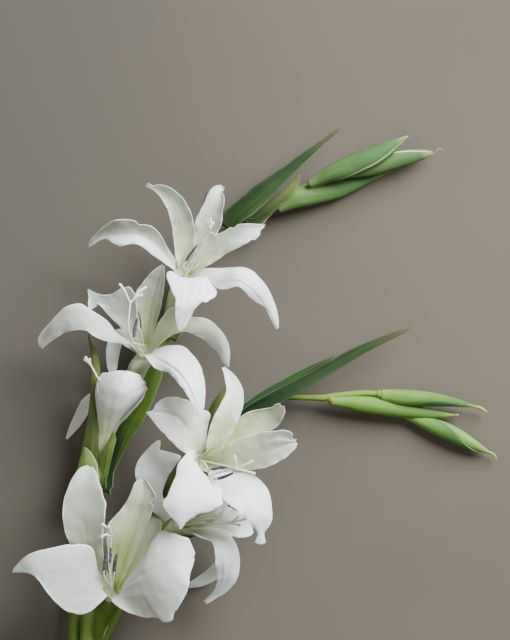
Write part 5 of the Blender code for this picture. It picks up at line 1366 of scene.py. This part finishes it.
for side in ("left", "right"):
    names = [name for name in buds if side in name]
    parts = []
    for name in names:
        parts += budParts(buds[name], 80 + 5 * list(buds).index(name))
    makePiece("buds" + side.capitalize(), parts, [leaves["bud" + side.capitalize()]], "bud", *names)
print("buds made")


# Stem: the stalk and both arms, each a path with its radius

leftArm = [
    (32, -105, 3.7, 4), (32, -94, 3.7, 4), (32, -90, 3.7, 4), (33, -70, 4.6, 3.9), (35, -45, 6, 3.8),
    (33.5, -20, 7.5, 3.2), (32.5, 0, 8, 3), (34.5, 25, 8, 3), (38, 50, 8, 3), (42, 70, 8, 2.9),
    (48, 85, 8, 2.8), (55, 98, 8, 2.7), (63, 112, 8, 2.6), (70, 126, 8, 2.5), (77, 142, 8, 2.4),
    (83, 158, 8, 2.3), (91, 173, 8, 2.2), (103.6, 185.2, 8, 2), (119.2, 193, 8, 1.7), (130.6, 199, 8.4, 1.4),
    (141, 204.5, 8.8, 1.2), (151, 208.5, 8.8, 1),
]
rightArm = [
    (34.6, -50, 5.6, 2.6), (38, -25, 7.5, 3), (43.5, -5, 8, 3), (49.5, 8, 8, 3), (57, 22, 8, 3),
    (63.5, 36, 8, 2.9), (70, 50, 8, 2.8), (77, 63, 8, 2.6), (85, 76, 8, 2.4), (94, 88, 8, 2.2),
    (104, 99, 8, 1.9), (114, 105.5, 8, 1.6), (126, 108.5, 7.5, 1.2), (138, 108.7, 7, 1.2),
    (146, 108.6, 6.6, 1.5), (151, 109.2, 6.4, 1.7), (158, 110.1, 6.2, 1.5), (166, 110.7, 6, 1.4),
    (173.5, 110, 6, 1.4),
]
stemLook = {
    "sides": 32,
    "ridges": 9,
    "ridgeDepth": 0.02,
    "dark": (4.0, 20.0, 0.55),  # where along y it is darker, how far around that, and by how much
    "collars": [(149.4, 107.9, 6.4, 2.3), (171.4, 110.2, 6.0, 2.0)],
}


def armPart(points, rows):
    line = smoothPath(points, rows)
    part = rodPart(line, line[:, 3], stemLook["sides"], lobes=stemLook["ridges"],
                   lobeDepth=stemLook["ridgeDepth"], lowest=0.0)
    middle, reach, amount = stemLook["dark"]
    part["tint"][:, 2] = amount * hill(part["verts"][:, 1], middle, reach)
    return part


def collarPart(x, y, z, radius):
    # a short swelling across the stem, at the foot of a bud
    line = smoothPath([(x - 1.6, y - 0.3, z), (x, y, z), (x + 1.6, y + 0.2, z)], 10)
    shares = np.linspace(0, 1, len(line))
    return rodPart(line, radius * (0.72 + 0.28 * np.sin(np.pi * shares)), 24)


stemParts = [armPart(leftArm, 200), armPart(rightArm, 150)]
stemParts += [collarPart(*spot) for spot in stemLook["collars"]]
makePiece("stalk", stemParts, [leaves["stemGreen"]], "stem", "stem")
print("stem made")


# Floor, light and camera

floorLook = {
    "pale": (0.099, 0.080, 0.0585),
    "shade": (0.087, 0.0715, 0.053),
    # painted shade: the floor turns darker towards the left, standing in for the light falling off there
    "paintedFalloff": (0.066, 0.055, 0.042),
    "paintedFalloffFrom": (-0.06, 0.19),  # x in metres: dim to the left of the first, and no longer at the second
    "size": 3.0,
    "roughness": 0.85,
}


def makeFloor():
    look = floorLook
    half = look["size"] / 2
    mesh = bpy.data.meshes.new("floor")
    corners = [(-half, -half, 0), (half, -half, 0), (half, half, 0), (-half, half, 0)]
    mesh.from_pydata(corners, [], [(0, 1, 2, 3)])
    floor = addObject("floor", mesh)
    material, tree, shader = startMaterial("paperFloor")
    place = objectPlace(tree)
    clouds = rampOf(tree, noiseOf(tree, place, 6.0, 4.0), 0.3, 0.7)
    colour = mixColour(tree, clouds, look["pale"], look["shade"])
    across = addNode(tree, "ShaderNodeSeparateXYZ", Vector=place).outputs["X"]
    # painted shade: darker towards the left
    colour = mixColour(tree, rampOf(tree, across, *look["paintedFalloffFrom"]), look["paintedFalloff"], colour)
    grain = noiseOf(tree, place, 900.0, 3.0)
    setInputs(tree, shader, {"Base Color": colour, "Roughness": look["roughness"],
                             "Normal": bumpOf(tree, grain, 0.15, 0.0001)})
    mesh.materials.append(material)


lightLook = {
    "key": dict(place=(0.92, 1.02, 0.90), size=1.25, power=130.0, colour=(0.91, 0.975, 1.0)),
    "fill": dict(place=(-0.7, -0.5, 1.3), size=1.4, power=9.0, colour=(1.0, 0.99, 0.90)),
    "around": {"Color": (0.99, 1.0, 0.88), "Strength": 0.13},
}
flowerMiddle = Vector((0.055, 0.22, 0.02))


def makeLights():
    for name in ("key", "fill"):
        look = lightLook[name]
        lamp = bpy.data.lights.new(name + "Light", "AREA")
        lamp.shape = "DISK"
        lamp.size = look["size"]
        lamp.energy = look["power"]
        lamp.color = look["colour"]
        holder = addObject(name + "Light", lamp)
        holder.location = flowerMiddle + Vector(look["place"])
        holder.rotation_euler = (flowerMiddle - holder.location).to_track_quat("-Z", "Y").to_euler()
    world = bpy.data.worlds.new("studio")
    world.use_nodes = True
    setInputs(world.node_tree, world.node_tree.nodes["Background"], lightLook["around"])
    bpy.context.scene.world = world


cameraLook = {"above": (0.08275, 0.242), "height": 2.027, "lens": 250.0, "sensor": 36.0, "farthest": 20.0}


def makeCamera():
    data = bpy.data.cameras.new("camera")
    data.lens = cameraLook["lens"]
    data.sensor_width = cameraLook["sensor"]
    data.clip_end = cameraLook["farthest"]
    camera = addObject("camera", data)
    camera.location = (*cameraLook["above"], cameraLook["height"])
    bpy.context.scene.camera = camera


makeFloor()
makeLights()
makeCamera()
print("floor, light and camera made")
